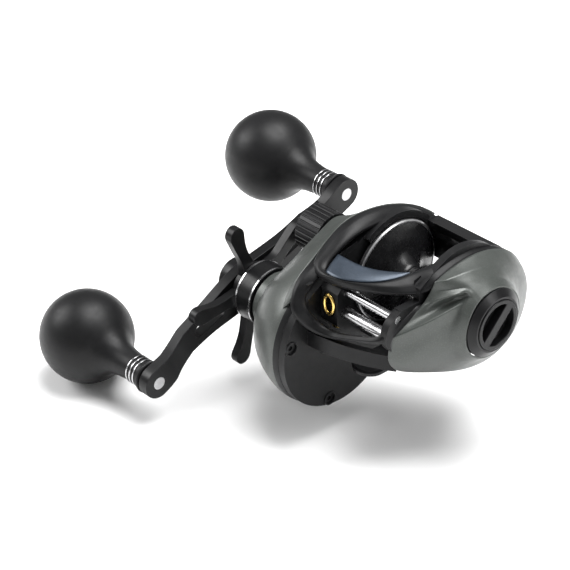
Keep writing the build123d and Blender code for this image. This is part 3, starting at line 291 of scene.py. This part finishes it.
def rubber(name, colour, roughness):
    """Matte foam-like knob skin: very fine pores and a low, soft specular."""
    n = Nodes(name)
    pores = n.add("ShaderNodeTexVoronoi", Vector=n.add("ShaderNodeTexCoord").outputs["Object"], Scale=2300.0)
    cloud = n.noise(70.0, 4.0)
    darker = tuple(c * 0.8 for c in colour)
    lighter = tuple(c * 1.15 for c in colour)
    base = n.colours(n.between(cloud, 0.0, 1.0), darker, lighter)
    n.link(base, n.shader.inputs["Base Color"])
    n.link(n.between(n.noise(500.0, 3.0), roughness - 0.04, roughness + 0.05), n.shader.inputs["Roughness"])
    height = n.math("ADD", pores.outputs["Distance"], n.math("MULTIPLY", n.noise(900.0, 3.0), 0.6))
    n.bump(height, 0.12, 0.00006)
    n.plain(Specular_IOR_Level=0.22)
    return n.material


def woven(name, colour, roughness=0.7):
    """Pressed fibre or graphite: short crossing strands."""
    n = Nodes(name)
    first = n.noise(700.0, 2.0, (6, 1, 1))
    second = n.noise(700.0, 2.0, (1, 6, 1))
    strands = n.math("MAXIMUM", first, second)
    base = n.colours(n.between(strands, 0.0, 1.0, 0.4, 0.7), tuple(c * 0.5 for c in colour), colour)
    n.link(base, n.shader.inputs["Base Color"])
    n.link(n.between(strands, roughness - 0.08, roughness + 0.08), n.shader.inputs["Roughness"])
    n.bump(strands, 0.2, 0.00005)
    return n.material


def make_materials():
    return {
        "black_frame": coated("black_frame", (0.0060, 0.0061, 0.0066), (0.035, 0.035, 0.037), 0.40,
                              specular=0.2),
        "black_anodised": coated("black_anodised", (0.0052, 0.0052, 0.0057), (0.04, 0.04, 0.042), 0.33,
                                 specular=0.22, grain=3600.0),
        "grey_paint": coated("grey_paint", (0.060, 0.066, 0.061), (0.20, 0.21, 0.20), 0.38, metallic=0.35,
                             coat=0.15, patchy=0.12),
        "blue_grey_panel": coated("blue_grey_panel", (0.034, 0.046, 0.064), (0.12, 0.14, 0.16), 0.36,
                                  metallic=0.5, coat=0.1, patchy=0.18),
        "bright_steel": metal("bright_steel", (0.58, 0.58, 0.59), 0.22),
        "spool_black": coated("spool_black", (0.0065, 0.0065, 0.007), (0.03, 0.03, 0.031), 0.26, specular=0.4,
                              centre=SPOOL_AXIS),
        "aluminium": metal("aluminium", (0.72, 0.72, 0.73), 0.30, centre=SPOOL_AXIS),
        "brass": metal("brass", (0.72, 0.50, 0.20), 0.28, centre=HUB_AXIS),
        "gold": metal("gold", (0.95, 0.66, 0.20), 0.22, dark=0.85),
        "fibre": woven("fibre", (0.03, 0.026, 0.022)),
        "plastic": coated("plastic", (0.02, 0.02, 0.021), (0.06, 0.06, 0.06), 0.48),
        "magnet": metal("magnet", (0.55, 0.56, 0.58), 0.25),
        "knob_black": rubber("knob_black", (0.0065, 0.0065, 0.007), 0.42),
    }


def paint_cad(materials):
    """Gives every CAD node the detailed material of its own slot."""
    for node in frame["nodes"].values():
        old = node.data.materials[0].name.split(".")[0]
        node.data.materials[0] = materials[old]


# CAD nodes that only need their corners rounded, with the width of the rounding
ROUNDED = {
    "handle_arm": 0.45, "star_drag": 0.45, "thumb_bar": 0.35, "cast_control_knob": 0.3, "brake_dial": 0.3,
    "reel_foot": 0.3, "line_guide_carriage": 0.3, "handle_nut": 0.2, "nut_retainer": 0.25,
}


# ---------------------------------------------------------------- mesh helpers
def new_piece(name, mesh, material, body):
    piece = bpy.data.objects.new(name, mesh)
    bpy.context.scene.collection.objects.link(piece)
    mesh.materials.append(material)
    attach(piece, body)
    return piece


def mesh_from(name, points, faces):
    """Mesh from points in millimetres, with every face turned outwards."""
    mesh = bpy.data.meshes.new(name)
    mesh.from_pydata([Vector(p) * MM for p in points], [], faces)
    shape = bmesh.new()
    shape.from_mesh(mesh)
    bmesh.ops.recalc_face_normals(shape, faces=shape.faces)
    shape.to_mesh(mesh)
    shape.free()
    mesh.shade_smooth()
    return mesh


def crease_edges(mesh, test, amount):
    """Creases the edges whose two vertex numbers pass the test."""
    layer = mesh.attributes.get("crease_edge") or mesh.attributes.new("crease_edge", "FLOAT", "EDGE")
    for edge in mesh.edges:
        if test(*edge.vertices):
            layer.data[edge.index].value = amount


def subdivided(piece, levels=2):
    smooth = piece.modifiers.new("subdivision", "SUBSURF")
    smooth.levels = smooth.render_levels = levels
    return piece


def band(name, sections, material, body="reel", creased=(), closed=False, levels=2, amount=0.8):
    """Solid bar whose cross-section changes along its path; each section is a closed loop of points."""
    width = len(sections[0])
    points = [p for section in sections for p in section]
    faces = []
    spans = len(sections) if closed else len(sections) - 1
    for k in range(spans):
        for i in range(width):
            a, b = k * width + i, k * width + (i + 1) % width
            c, d = (a + width) % len(points), (b + width) % len(points)
            faces.append((a, b, d, c))
    if not closed:
        faces.append(tuple(range(width)))
        faces.append(tuple(range(len(points) - width, len(points))))
    mesh = mesh_from(name, points, faces)
    last = len(sections) - 1

    def is_crease(a, b):
        along = a % width == b % width and a % width in creased
        end = not closed and a // width == b // width and a // width in (0, last)
        return along or end

    crease_edges(mesh, is_crease, amount)
    return subdivided(new_piece(name, mesh, material, body), levels)


def turned(name, profile, centre, material, body, segments=96):
    """Lathe-turned piece about an axis along X, from (x, radius) points."""
    points, faces = [], []
    count = len(profile)
    for step in range(segments):
        angle = 2 * pi * step / segments
        for x, radius in profile:
            points.append((x, centre[0] + radius * cos(angle), centre[1] + radius * sin(angle)))
    for step in range(segments):
        following = (step + 1) % segments
        for i in range(count):
            j = (i + 1) % count
            faces.append((step * count + i, step * count + j, following * count + j, following * count + i))
    mesh = mesh_from(name, points, faces)
    bmesh_clean(mesh)
    mesh.set_sharp_from_angle(angle=radians(32))
    return new_piece(name, mesh, material, body)


def bmesh_clean(mesh):
    """Joins points that lie on the axis and removes faces without area."""
    shape = bmesh.new()
    shape.from_mesh(mesh)
    bmesh.ops.remove_doubles(shape, verts=shape.verts, dist=0.000002)
    bmesh.ops.dissolve_degenerate(shape, edges=shape.edges, dist=0.000001)
    bmesh.ops.recalc_face_normals(shape, faces=shape.faces)
    shape.to_mesh(mesh)
    shape.free()
    mesh.shade_smooth()


def softened(node, width=0.25, material=None, name=None, angle=35.0):
    """Copy of a CAD node with its corners rounded, shown in the node's place."""
    source = frame["nodes"][node]
    mesh = source.data.copy()
    mesh.name = name or f"{node}_soft"
    shape = bmesh.new()
    shape.from_mesh(mesh)
    bmesh.ops.remove_doubles(shape, verts=shape.verts, dist=0.000004)
    bmesh.ops.dissolve_limit(shape, angle_limit=radians(1.2), verts=shape.verts, edges=shape.edges)
    shape.to_mesh(mesh)
    shape.free()
    if mesh.attributes.get("custom_normal"):
        mesh.attributes.remove(mesh.attributes["custom_normal"])
    chosen = material or source.data.materials[0]
    mesh.materials.clear()
    piece = new_piece(name or f"{node}_soft", mesh, chosen, source["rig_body"])
    mesh.shade_smooth()
    mesh.set_sharp_from_angle(angle=radians(angle))
    bevel = piece.modifiers.new("rounded_edges", "BEVEL")
    bevel.width = width * MM
    bevel.segments = 2
    bevel.limit_method = "ANGLE"
    bevel.angle_limit = radians(angle)
    bevel.harden_normals = True
    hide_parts(node)
    return piece


def mixed(a, b, share):
    return tuple(p + (q - p) * share for p, q in zip(a, b))


def shifted(point, step):
    return tuple(p + s for p, s in zip(point, step))


def towards_axis(point, amount, x=None, axis=SPOOL_AXIS):
    """The point moved towards an X-parallel axis, and to another x where one is given."""
    dy, dz = point[1] - axis[0], point[2] - axis[1]
    reach = sqrt(dy * dy + dz * dz)
    share = (reach - amount) / reach
    return (point[0] if x is None else x, axis[0] + dy * share, axis[1] + dz * share)


# ---------------------------------------------------------------- frame: hood and window
HOOD_SIDE = (  # outer edge, inner edge of the gear-side hood, from behind the spool over the top to the front
    ((-11.5, 23.4, 31.0), (-11.5, 19.9, 30.2)),
    ((-15.0, 21.4, 36.0), (-13.4, 17.3, 34.0)),
    ((-17.5, 15.7, 40.7), (-14.0, 12.4, 38.6)),
    ((-18.5, 6.6, 44.5), (-14.3, 5.2, 42.1)),
    ((-20.0, -4.1, 46.8), (-14.6, -4.6, 44.1)),
    ((-21.5, -14.5, 46.2), (-14.8, -13.6, 44.4)),
    ((-22.0, -21.0, 43.1), (-15.0, -20.4, 42.9)),
    ((-22.0, -28.0, 38.0), (-15.4, -26.2, 40.0)),
    ((-20.6, -33.0, 36.2), (-15.4, -31.2, 36.2)),
)
HOOD_FRONT = (  # lower edge, upper edge of the bar between the panel and the window, then the palm side
    ((-17.6, -35.2, 33.6), (-13.6, -33.8, 35.4)),
    ((-12.4, -35.4, 33.4), (-8.6, -34.9, 35.8)),
    ((-4.4, -34.5, 33.7), (-3.2, -33.6, 36.1)),
    ((7.0, -30.5, 35.4), (5.2, -28.8, 37.2)),
    ((14.5, -24.0, 35.2), (9.2, -22.2, 38.1)),
    ((19.2, -17.6, 35.6), (11.0, -17.0, 39.6)),
    ((20.0, -15.4, 39.4), (13.4, -13.0, 41.0)),
    ((19.5, -7.8, 41.5), (14.8, -5.7, 41.9)),
    ((19.5, 5.2, 42.8), (14.8, 4.2, 42.2)),
    ((19.0, 19.5, 38.1), (14.8, 15.6, 38.9)),
    ((18.4, 26.2, 32.0), (14.8, 21.8, 32.4)),
)


def hood_section(outer, inner, front):
    middle = mixed(outer, inner, 0.5)
    if front:
        lift = (0.0, -0.5, 0.7)
        sink = (0.0, 1.6, -2.2)
    else:
        away = towards_axis(middle, -0.9)
        lift = tuple(a - m for a, m in zip(away, middle))
        sink = tuple(3.2 * (m - a) for a, m in zip(away, middle))
    crest = shifted(mixed(outer, inner, 0.42), lift)
    shoulder = shifted(mixed(outer, inner, 0.82), lift)
    return [outer, crest, shoulder, inner, shifted(inner, sink), shifted(outer, sink)]


def make_hood(black):
    sections = [hood_section(o, i, False) for o, i in HOOD_SIDE]
    sections += [hood_section(o, i, True) for o, i in HOOD_FRONT[:5]]
    sections += [hood_section(o, i, False) for o, i in HOOD_FRONT[5:]]
    band("hood", sections, black, creased=(0, 1, 3), amount=0.7)


WINDOW = (  # outer edge, inner edge of the window's rim, from the upper left, round below, to the palm side
    ((-21.4, -28.6, 36.4), (-16.4, -28.0, 37.4)),
    ((-21.2, -33.6, 35.4), (-15.6, -33.8, 34.4)),
    ((-20.6, -38.2, 33.8), (-15.4, -38.2, 30.8)),
    ((-20.0, -42.0, 30.4), (-15.8, -40.6, 28.6)),
    ((-18.6, -45.0, 26.2), (-15.6, -41.8, 26.4)),
    ((-16.6, -46.4, 22.4), (-14.0, -42.3, 23.8)),
    ((-13.6, -43.2, 17.6), (-12.8, -40.5, 20.5)),
    ((-11.4, -40.4, 14.8), (-10.9, -38.5, 17.8)),
    ((-5.4, -37.4, 13.6), (-5.2, -37.0, 16.4)),
    ((4.0, -36.9, 17.2), (3.8, -36.9, 19.8)),
    ((14.2, -36.8, 20.8), (13.4, -36.9, 23.4)),
    ((17.6, -34.6, 22.2), (16.6, -35.0, 25.2)),
    ((18.4, -27.6, 26.2), (16.8, -29.8, 27.6)),
    ((18.8, -20.6, 30.4), (17.6, -21.6, 31.4)),
)


CARRIAGE_REACH = 15.0          # the carriage passes behind the rim out to this X
CARRIAGE_FRONT = -35.9


def window_section(outer, inner):
    back = max(outer[1], inner[1])
    depth = (0.0, 2.4, 0.0)
    if abs(inner[0]) < CARRIAGE_REACH:
        depth = (0.0, min(2.4, CARRIAGE_FRONT - back), 0.0)
    crest = shifted(mixed(outer, inner, 0.45), (0.0, -1.2, 0.2))
    return [outer, crest, inner, shifted(inner, depth), shifted(outer, depth)]


def make_window_rim(black):
    sections = [window_section(o, i) for o, i in WINDOW]
    band("window_rim", sections, black, creased=(0, 1, 2), amount=0.75)


PANEL_LOWER = ((-13.2, -33.9, 35.7), (-8.4, -34.6, 36.0), (-3.2, -33.2, 36.3), (4.9, -28.6, 37.3),
               (9.0, -22.0, 38.2), (10.4, -17.6, 38.9))
PANEL_UPPER = ((-14.6, -26.6, 39.2), (-9.6, -26.3, 38.9), (-3.8, -26.0, 38.8), (2.4, -23.6, 38.9),
               (7.2, -20.0, 39.0), (10.0, -17.3, 39.1))


def make_panel(blue, black):
    sections = []
    for low, high in zip(PANEL_LOWER, PANEL_UPPER):
        swell = shifted(mixed(low, high, 0.5), (0.0, 0.0, 0.35))
        sections.append([low, swell, high, shifted(high, (0, 0.2, -0.8)), shifted(low, (0, 0.2, -0.8))])
    piece = band("panel", sections, blue, creased=(0, 2), amount=0.9)
    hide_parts("front_panel")
    ledge = []
    for low, high in zip(PANEL_LOWER, PANEL_UPPER):
        ledge.append([shifted(low, (0, -0.3, -0.7)), shifted(high, (0, 0.5, -0.6)),
                      shifted(high, (0, 0.9, -2.6)), shifted(low, (0, 0.2, -2.2))])
    band("panel_ledge", ledge, black, creased=(0, 1, 2, 3), amount=0.6)


CREST = (  # top edge beside the hood, foot on the gear cover, from behind the spool to the front
    ((-15.2, 21.6, 36.2), (-19.5, 19.0, 33.5)),
    ((-17.7, 15.9, 40.9), (-23.0, 13.6, 37.4)),
    ((-18.7, 6.6, 44.8), (-24.6, 5.6, 41.1)),
    ((-20.2, -4.1, 47.0), (-25.8, -3.6, 41.4)),
    ((-21.7, -14.6, 46.3), (-26.6, -12.6, 39.4)),
    ((-22.2, -21.2, 43.2), (-26.8, -19.0, 35.4)),
    ((-22.2, -28.2, 38.0), (-26.8, -27.4, 30.6)),
    ((-21.6, -34.6, 34.6), (-26.6, -35.6, 26.2)),
    ((-20.8, -40.2, 30.2), (-26.0, -41.4, 22.2)),
    ((-19.4, -44.0, 25.4), (-24.0, -45.0, 18.8)),
)


def make_crest(grey):
    """Upper strip of the gear cover, which climbs to the hood's edge."""
    sections = []
    for top, foot in CREST:
        bulge = towards_axis(mixed(top, foot, 0.45), -0.9)
        sections.append([top, bulge, foot, towards_axis(foot, 2.0), towards_axis(top, 3.5)])
    band("gear_cover_crest", sections, grey, creased=(0,), amount=0.8)


# ---------------------------------------------------------------- palm cover
PALM_COLUMNS = (  # seam, shoulder and slope points of each column, from the front tip over the top
    ((17.0, -33.6, 19.6), (24.4, -20.4, 22.4), (28.2, -12.8, 29.0)),
    ((17.2, -32.9, 23.2), (25.0, -21.9, 28.9), (28.9, -10.5, 33.8)),
    ((17.8, -26.4, 27.6), (20.9, -15.4, 29.9), (26.0, -7.9, 33.7)),
    ((18.5, -19.6, 31.6), (25.6, -15.7, 35.8), (29.0, -10.4, 37.6)),
    ((19.5, -17.2, 36.0), (24.2, -13.6, 37.0), (28.0, -8.4, 38.0)),
    ((20.0, -16.0, 39.2), (22.8, -14.4, 40.2), (27.0, -8.6, 39.6)),
    ((19.5, -7.8, 41.7), (25.0, -7.0, 41.6), (28.2, -3.4, 39.0)),
    ((19.5, 5.2, 43.0), (26.4, 4.4, 40.2), (28.6, 3.4, 38.4)),
    ((19.0, 19.5, 38.4), (24.6, 16.0, 34.4), (28.2, 11.6, 33.4)),
    ((18.6, 27.3, 31.4), (23.0, 25.6, 29.6), (27.6, 16.2, 27.4)),
    ((18.4, 31.6, 22.0), (22.4, 31.2, 21.4), (27.4, 19.2, 21.6)),
    ((18.2, 30.6, 11.0), (22.0, 30.4, 9.8), (27.2, 18.6, 14.0)),
    ((18.0, 24.6, 1.8), (22.0, 24.6, 1.0), (27.0, 15.4, 7.8)),
    ((17.8, 13.6, -2.9), (22.0, 14.2, -3.9), (27.0, 8.6, 3.8)),
    ((17.6, 2.6, -2.3), (22.0, 2.2, -3.3), (27.0, 1.4, 3.6)),
    ((17.4, -8.8, 1.3), (22.0, -8.3, -0.1), (27.0, -5.8, 5.6)),
    ((17.2, -20.2, 4.2), (22.0, -18.2, 4.6), (27.0, -11.2, 9.4)),
    ((16.9, -29.6, 8.2), (21.0, -25.8, 8.4), (27.0, -15.0, 14.4)),
    ((16.8, -34.2, 14.2), (20.8, -30.6, 14.2), (26.4, -17.4, 19.6)),
)
PALM_RIM = ((29.6, 15.8), (31.4, 14.3), (32.2, 13.7), (32.2, 13.05), (30.0, 12.9))
PALM_RIDGES = ({(1, 0), (1, 1), (1, 2)}, {(3, 0), (3, 1), (3, 2)}, {(4, 0), (4, 1), (4, 2)},
               {(5, 0), (5, 1), (6, 1), (7, 1), (8, 1)})


def make_palm_cover(grey):
    """Faceted teardrop shell: ridges run from the seam to the dial's rim."""
    count = len(PALM_COLUMNS)
    rings = 3 + len(PALM_RIM)
    points = []
    for index, column in enumerate(PALM_COLUMNS):
        points += list(column)
        low = column[2]
        start = atan2(low[2] - SPOOL_AXIS[1], low[1] - SPOOL_AXIS[0])
        for x, radius in PALM_RIM:
            points.append((x, radius * cos(start), SPOOL_AXIS[1] + radius * sin(start)))
    inner = len(points)
    for column in PALM_COLUMNS:
        points.append(towards_axis(column[0], 1.5, x=column[0][0] + 0.1))
    for column in PALM_COLUMNS:
        points.append(towards_axis(column[1], 1.6, x=column[1][0] - 1.4))
    faces = []
    for index in range(count):
        following = (index + 1) % count
        for ring in range(rings - 1):
            a, b = index * rings + ring, following * rings + ring
            faces.append((a, b, b + 1, a + 1))
        i0, i1 = inner + index, inner + following
        j0, j1 = inner + count + index, inner + count + following
        faces.append((index * rings, following * rings, i1, i0))
        faces.append((i0, i1, j1, j0))
        faces.append((j0, j1, following * rings + rings - 1, index * rings + rings - 1))
    mesh = mesh_from("palm_cover", points, faces)

    def place(vertex):
        return (vertex // rings, vertex % rings) if vertex < inner else None

    def on_ridge(a, b):
        return any(place(a) in ridge and place(b) in ridge for ridge in PALM_RIDGES)

    crease_edges(mesh, on_ridge, 1.0)
    seam = {k * rings for k in range(count)}
    crease_edges(mesh, lambda a, b: a in seam and b in seam, 0.9)
    rim = {k * rings + 5 for k in range(count)} | {k * rings + 6 for k in range(count)}
    crease_edges(mesh, lambda a, b: a in rim and b in rim and a % rings == b % rings, 0.7)
    piece = subdivided(new_piece("palm_cover", mesh, grey, "reel"), 3)
    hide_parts("palm_side_cover")


# ---------------------------------------------------------------- gear side
GEAR_SEAM_X = -20.6


def make_gear_cover(grey, black):
    """Gear cover with its corners rounded; the part next to the seam belongs to the black frame."""
    piece = softened("gear_side_cover", 0.3, grey, "gear_cover", angle=40.0)
    shape = bmesh.new()
    shape.from_mesh(piece.data)
    everything = shape.verts[:] + shape.edges[:] + shape.faces[:]
    bmesh.ops.bisect_plane(shape, geom=everything, plane_co=(GEAR_SEAM_X * MM, 0, 0), plane_no=(1, 0, 0))
    for face in shape.faces:
        face.material_index = 1 if face.calc_center_median().x > GEAR_SEAM_X * MM else 0
    shape.to_mesh(piece.data)
    shape.free()
    piece.data.materials.append(black)


HEAD_BAR_BOXES = (  # room taken out of the frame where the hood stands
    ((-15.25, -42.0, 30.6), (14.75, -16.9, 43.0)),
    ((-18.4, -42.0, 32.0), (18.0, -29.0, 43.0)),
    ((14.7, -29.5, 32.4), (18.2, -20.3, 43.0)),
)


def box_object(low, high):
    mesh = bpy.data.meshes.new("cutter")
    low, high = Vector(low) * MM, Vector(high) * MM
    shape = bmesh.new()
    bmesh.ops.create_cube(shape, size=1.0)
    bmesh.ops.scale(shape, vec=high - low, verts=shape.verts)
    bmesh.ops.translate(shape, vec=(high + low) / 2, verts=shape.verts)
    shape.to_mesh(mesh)
    shape.free()
    cutter = bpy.data.objects.new("cutter", mesh)
    bpy.context.scene.collection.objects.link(cutter)
    return cutter


def make_frame_body(black):
    """Plates, floor and bars of the frame, without the plain head bar that the hood stands for."""
    piece = softened("frame", 0.28, black, "frame_body")
    bevel = piece.modifiers["rounded_edges"]
    bevel.show_viewport = False
    for low, high in HEAD_BAR_BOXES:
        cutter = box_object(low, high)
        cut = piece.modifiers.new("cut", "BOOLEAN")
        cut.operation = "DIFFERENCE"
        cut.object = cutter
        piece.modifiers.move(1, 0)
        bpy.context.view_layer.update()
        shown = piece.evaluated_get(bpy.context.evaluated_depsgraph_get())
        piece.data = bpy.data.meshes.new_from_object(shown)
        piece.modifiers.remove(piece.modifiers["cut"])
        bpy.data.objects.remove(cutter)
    bevel.show_viewport = True


LUG = (-13.9, -31.2, 4.4)       # small screw lug of the frame, under the window
WALL_SCREWS = ((-47.4, 9.8), (-29.0, -19.0))


def make_wall_details(black):
    """Raised collars round two screws of the gear wall, and the lug between the wall and the sill."""
    for number, centre in enumerate(WALL_SCREWS):
        collar = [(-15.4, 2.22), (-14.9, 2.22), (-14.75, 2.3), (-14.75, 2.45), (-14.9, 2.58), (-15.4, 2.6)]
        turned(f"wall_collar_{number + 1}", collar, centre, black, "reel", segments=48)
    lug = [(-15.4, 0.0), (-13.6, 0.0), (-13.3, 0.9), (-13.3, 1.9), (-13.7, 2.5), (-15.4, 3.2)]
    turned("wall_lug", lug, (LUG[1], LUG[2]), black, "reel", segments=48)


RING_CENTRE = (-10.6, 24.2)     # (X, Z) of the line guide's opening
RING_WIRE = 0.75                # radius of the ring's wire
RING_HALF_WIDTH = 2.25
RING_HALF_HEIGHT = 3.55


def make_guide_ring(gold):
    """Polished oval ring in the carriage, through which the line runs."""
    node = frame["nodes"]["line_guide_insert"]
    front = min(corner[1] for corner in node.bound_box) / MM
    sections = []
    for step in range(20):
        angle = 2 * pi * step / 20
        section = []
        for turn in range(8):
            out = RING_WIRE * cos(2 * pi * turn / 8)
            back = RING_WIRE * sin(2 * pi * turn / 8)
            section.append((RING_CENTRE[0] + (RING_HALF_WIDTH + out) * cos(angle), front + RING_WIRE + back,
                            RING_CENTRE[1] + (RING_HALF_HEIGHT + out) * sin(angle)))
        sections.append(section)
    piece = band("guide_ring", sections, gold, body=node["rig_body"], closed=True, levels=1)
    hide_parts("line_guide_insert")


def make_yoke_springs(steel):
    """Springs behind the clutch yoke: a steel copy of the CAD node, riding on the node's body."""
    node = frame["nodes"]["yoke_springs"]
    mesh = node.data.copy()
    mesh.materials.clear()
    piece = new_piece("yoke_spring_coils", mesh, steel, node["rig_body"])
    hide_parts("yoke_springs")
    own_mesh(piece)


# ---------------------------------------------------------------- spool
def make_spool(black, steel):
    """Turned spool: dished flanges, cones, a thin grooved drum and a bright ring on each rim."""
    half = [(14.5, 1.6), (14.5, 4.0), (11.1, 6.0), (11.0, 11.8), (11.6, 12.8), (14.1, 16.4), (14.5, 17.2),
            (14.5, 18.8), (14.25, 19.1), (12.9, 19.1), (12.55, 18.8), (12.45, 17.7), (10.3, 14.0),
            (9.7, 10.6), (9.0, 8.6), (6.2, 5.6), (5.4, 5.2)]
    grooves = []
    for x in (4.4, 2.2):
        grooves += [(x + 0.5, 5.2), (x + 0.25, 4.82), (x - 0.25, 4.82), (x - 0.5, 5.2)]
    middle = [(0.5, 5.2), (0.25, 4.82), (-0.25, 4.82), (-0.5, 5.2)]
    right = half + grooves
    profile = right + middle + [(-x, radius) for x, radius in reversed(right)]
    body = frame["nodes"]["spool"]["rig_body"]
    piece = turned("spool_body", profile, SPOOL_AXIS, black, body, segments=144)
    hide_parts("spool")
    for name, side in (("spool_rim_gear", -1), ("spool_rim_palm", 1)):
        ring = [(side * x, radius) for x, radius in
                ((12.4, 18.2), (12.4, 18.75), (12.8, 19.2), (13.9, 19.22), (14.0, 19.1), (14.0, 18.2))]
        turned(name, ring, SPOOL_AXIS, steel, body, segments=144)


# ---------------------------------------------------------------- knobs
def knob_axis(share):
    angle = radians(HANDLE_ANGLE)
    reach = share * KNOB_REACH
    return (HUB_AXIS[0] + reach * cos(angle), HUB_AXIS[1] + reach * sin(angle))


def make_knob(name, share, skin, steel, dark):
    """Egg-shaped ball grip with a ringed neck and a flange against the arm."""
    profile = [(-64.7, 2.2), (-64.7, 5.6), (-64.9, 6.1), (-65.3, 6.2), (-65.8, 6.0),
               (-66.3, 5.4), (-67.2, 5.15)]
    for x in KNOB_RINGS:
        profile += [(x + 0.45, 5.15), (x + 0.3, 4.85), (x - 0.3, 4.85), (x - 0.45, 5.15)]
    profile += [(-75.5, 5.35), (-79.0, 5.75), (-82.0, 6.5), (-84.2, 7.6), (-85.8, 8.9)]
    first, last, steps = 34.0, 166.0, 36
    for step in range(steps + 1):
        angle = radians(first + (last - first) * step / steps)
        profile.append((KNOB_CENTRE_X + KNOB_RADIUS * cos(angle), KNOB_RADIUS * sin(angle)))
    profile += [(-118.72, 3.9), (-118.5, 3.75), (-118.1, 3.7), (-118.1, 2.2)]
    axis = knob_axis(share)
    grip = turned(f"{name}_grip", profile, axis, skin, name)
    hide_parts(name)
    for number, x in enumerate(KNOB_RINGS):
        ring = [(x + 0.26, 4.9), (x + 0.26, 5.25), (x + 0.12, 5.42),
                (x - 0.12, 5.42), (x - 0.26, 5.25), (x - 0.26, 4.9)]
        turned(f"{name}_ring_{number + 1}", ring, axis, steel, name)
    cap = [(-117.4, 0.0), (-118.4, 0.0), (-118.55, 1.6), (-118.5, 2.9), (-118.3, 3.5), (-117.4, 3.6)]
    turned(f"{name}_cap", cap, axis, dark, name)


make_camera()
make_studio()
materials = make_materials()
paint_cad(materials)

black = materials["black_frame"]
anodised = materials["black_anodised"]
grey = materials["grey_paint"]
make_frame_body(black)
make_hood(black)
make_window_rim(black)
make_crest(grey)
make_panel(materials["blue_grey_panel"], black)
make_palm_cover(grey)
make_gear_cover(grey, black)
make_wall_details(black)
make_yoke_springs(materials["bright_steel"])
make_guide_ring(materials["gold"])
make_spool(materials["spool_black"], materials["aluminium"])
for node, width in ROUNDED.items():
    softened(node, width)
make_knob("front_knob", -1, materials["knob_black"], materials["bright_steel"], anodised)
make_knob("rear_knob", 1, materials["knob_black"], materials["bright_steel"], anodised)
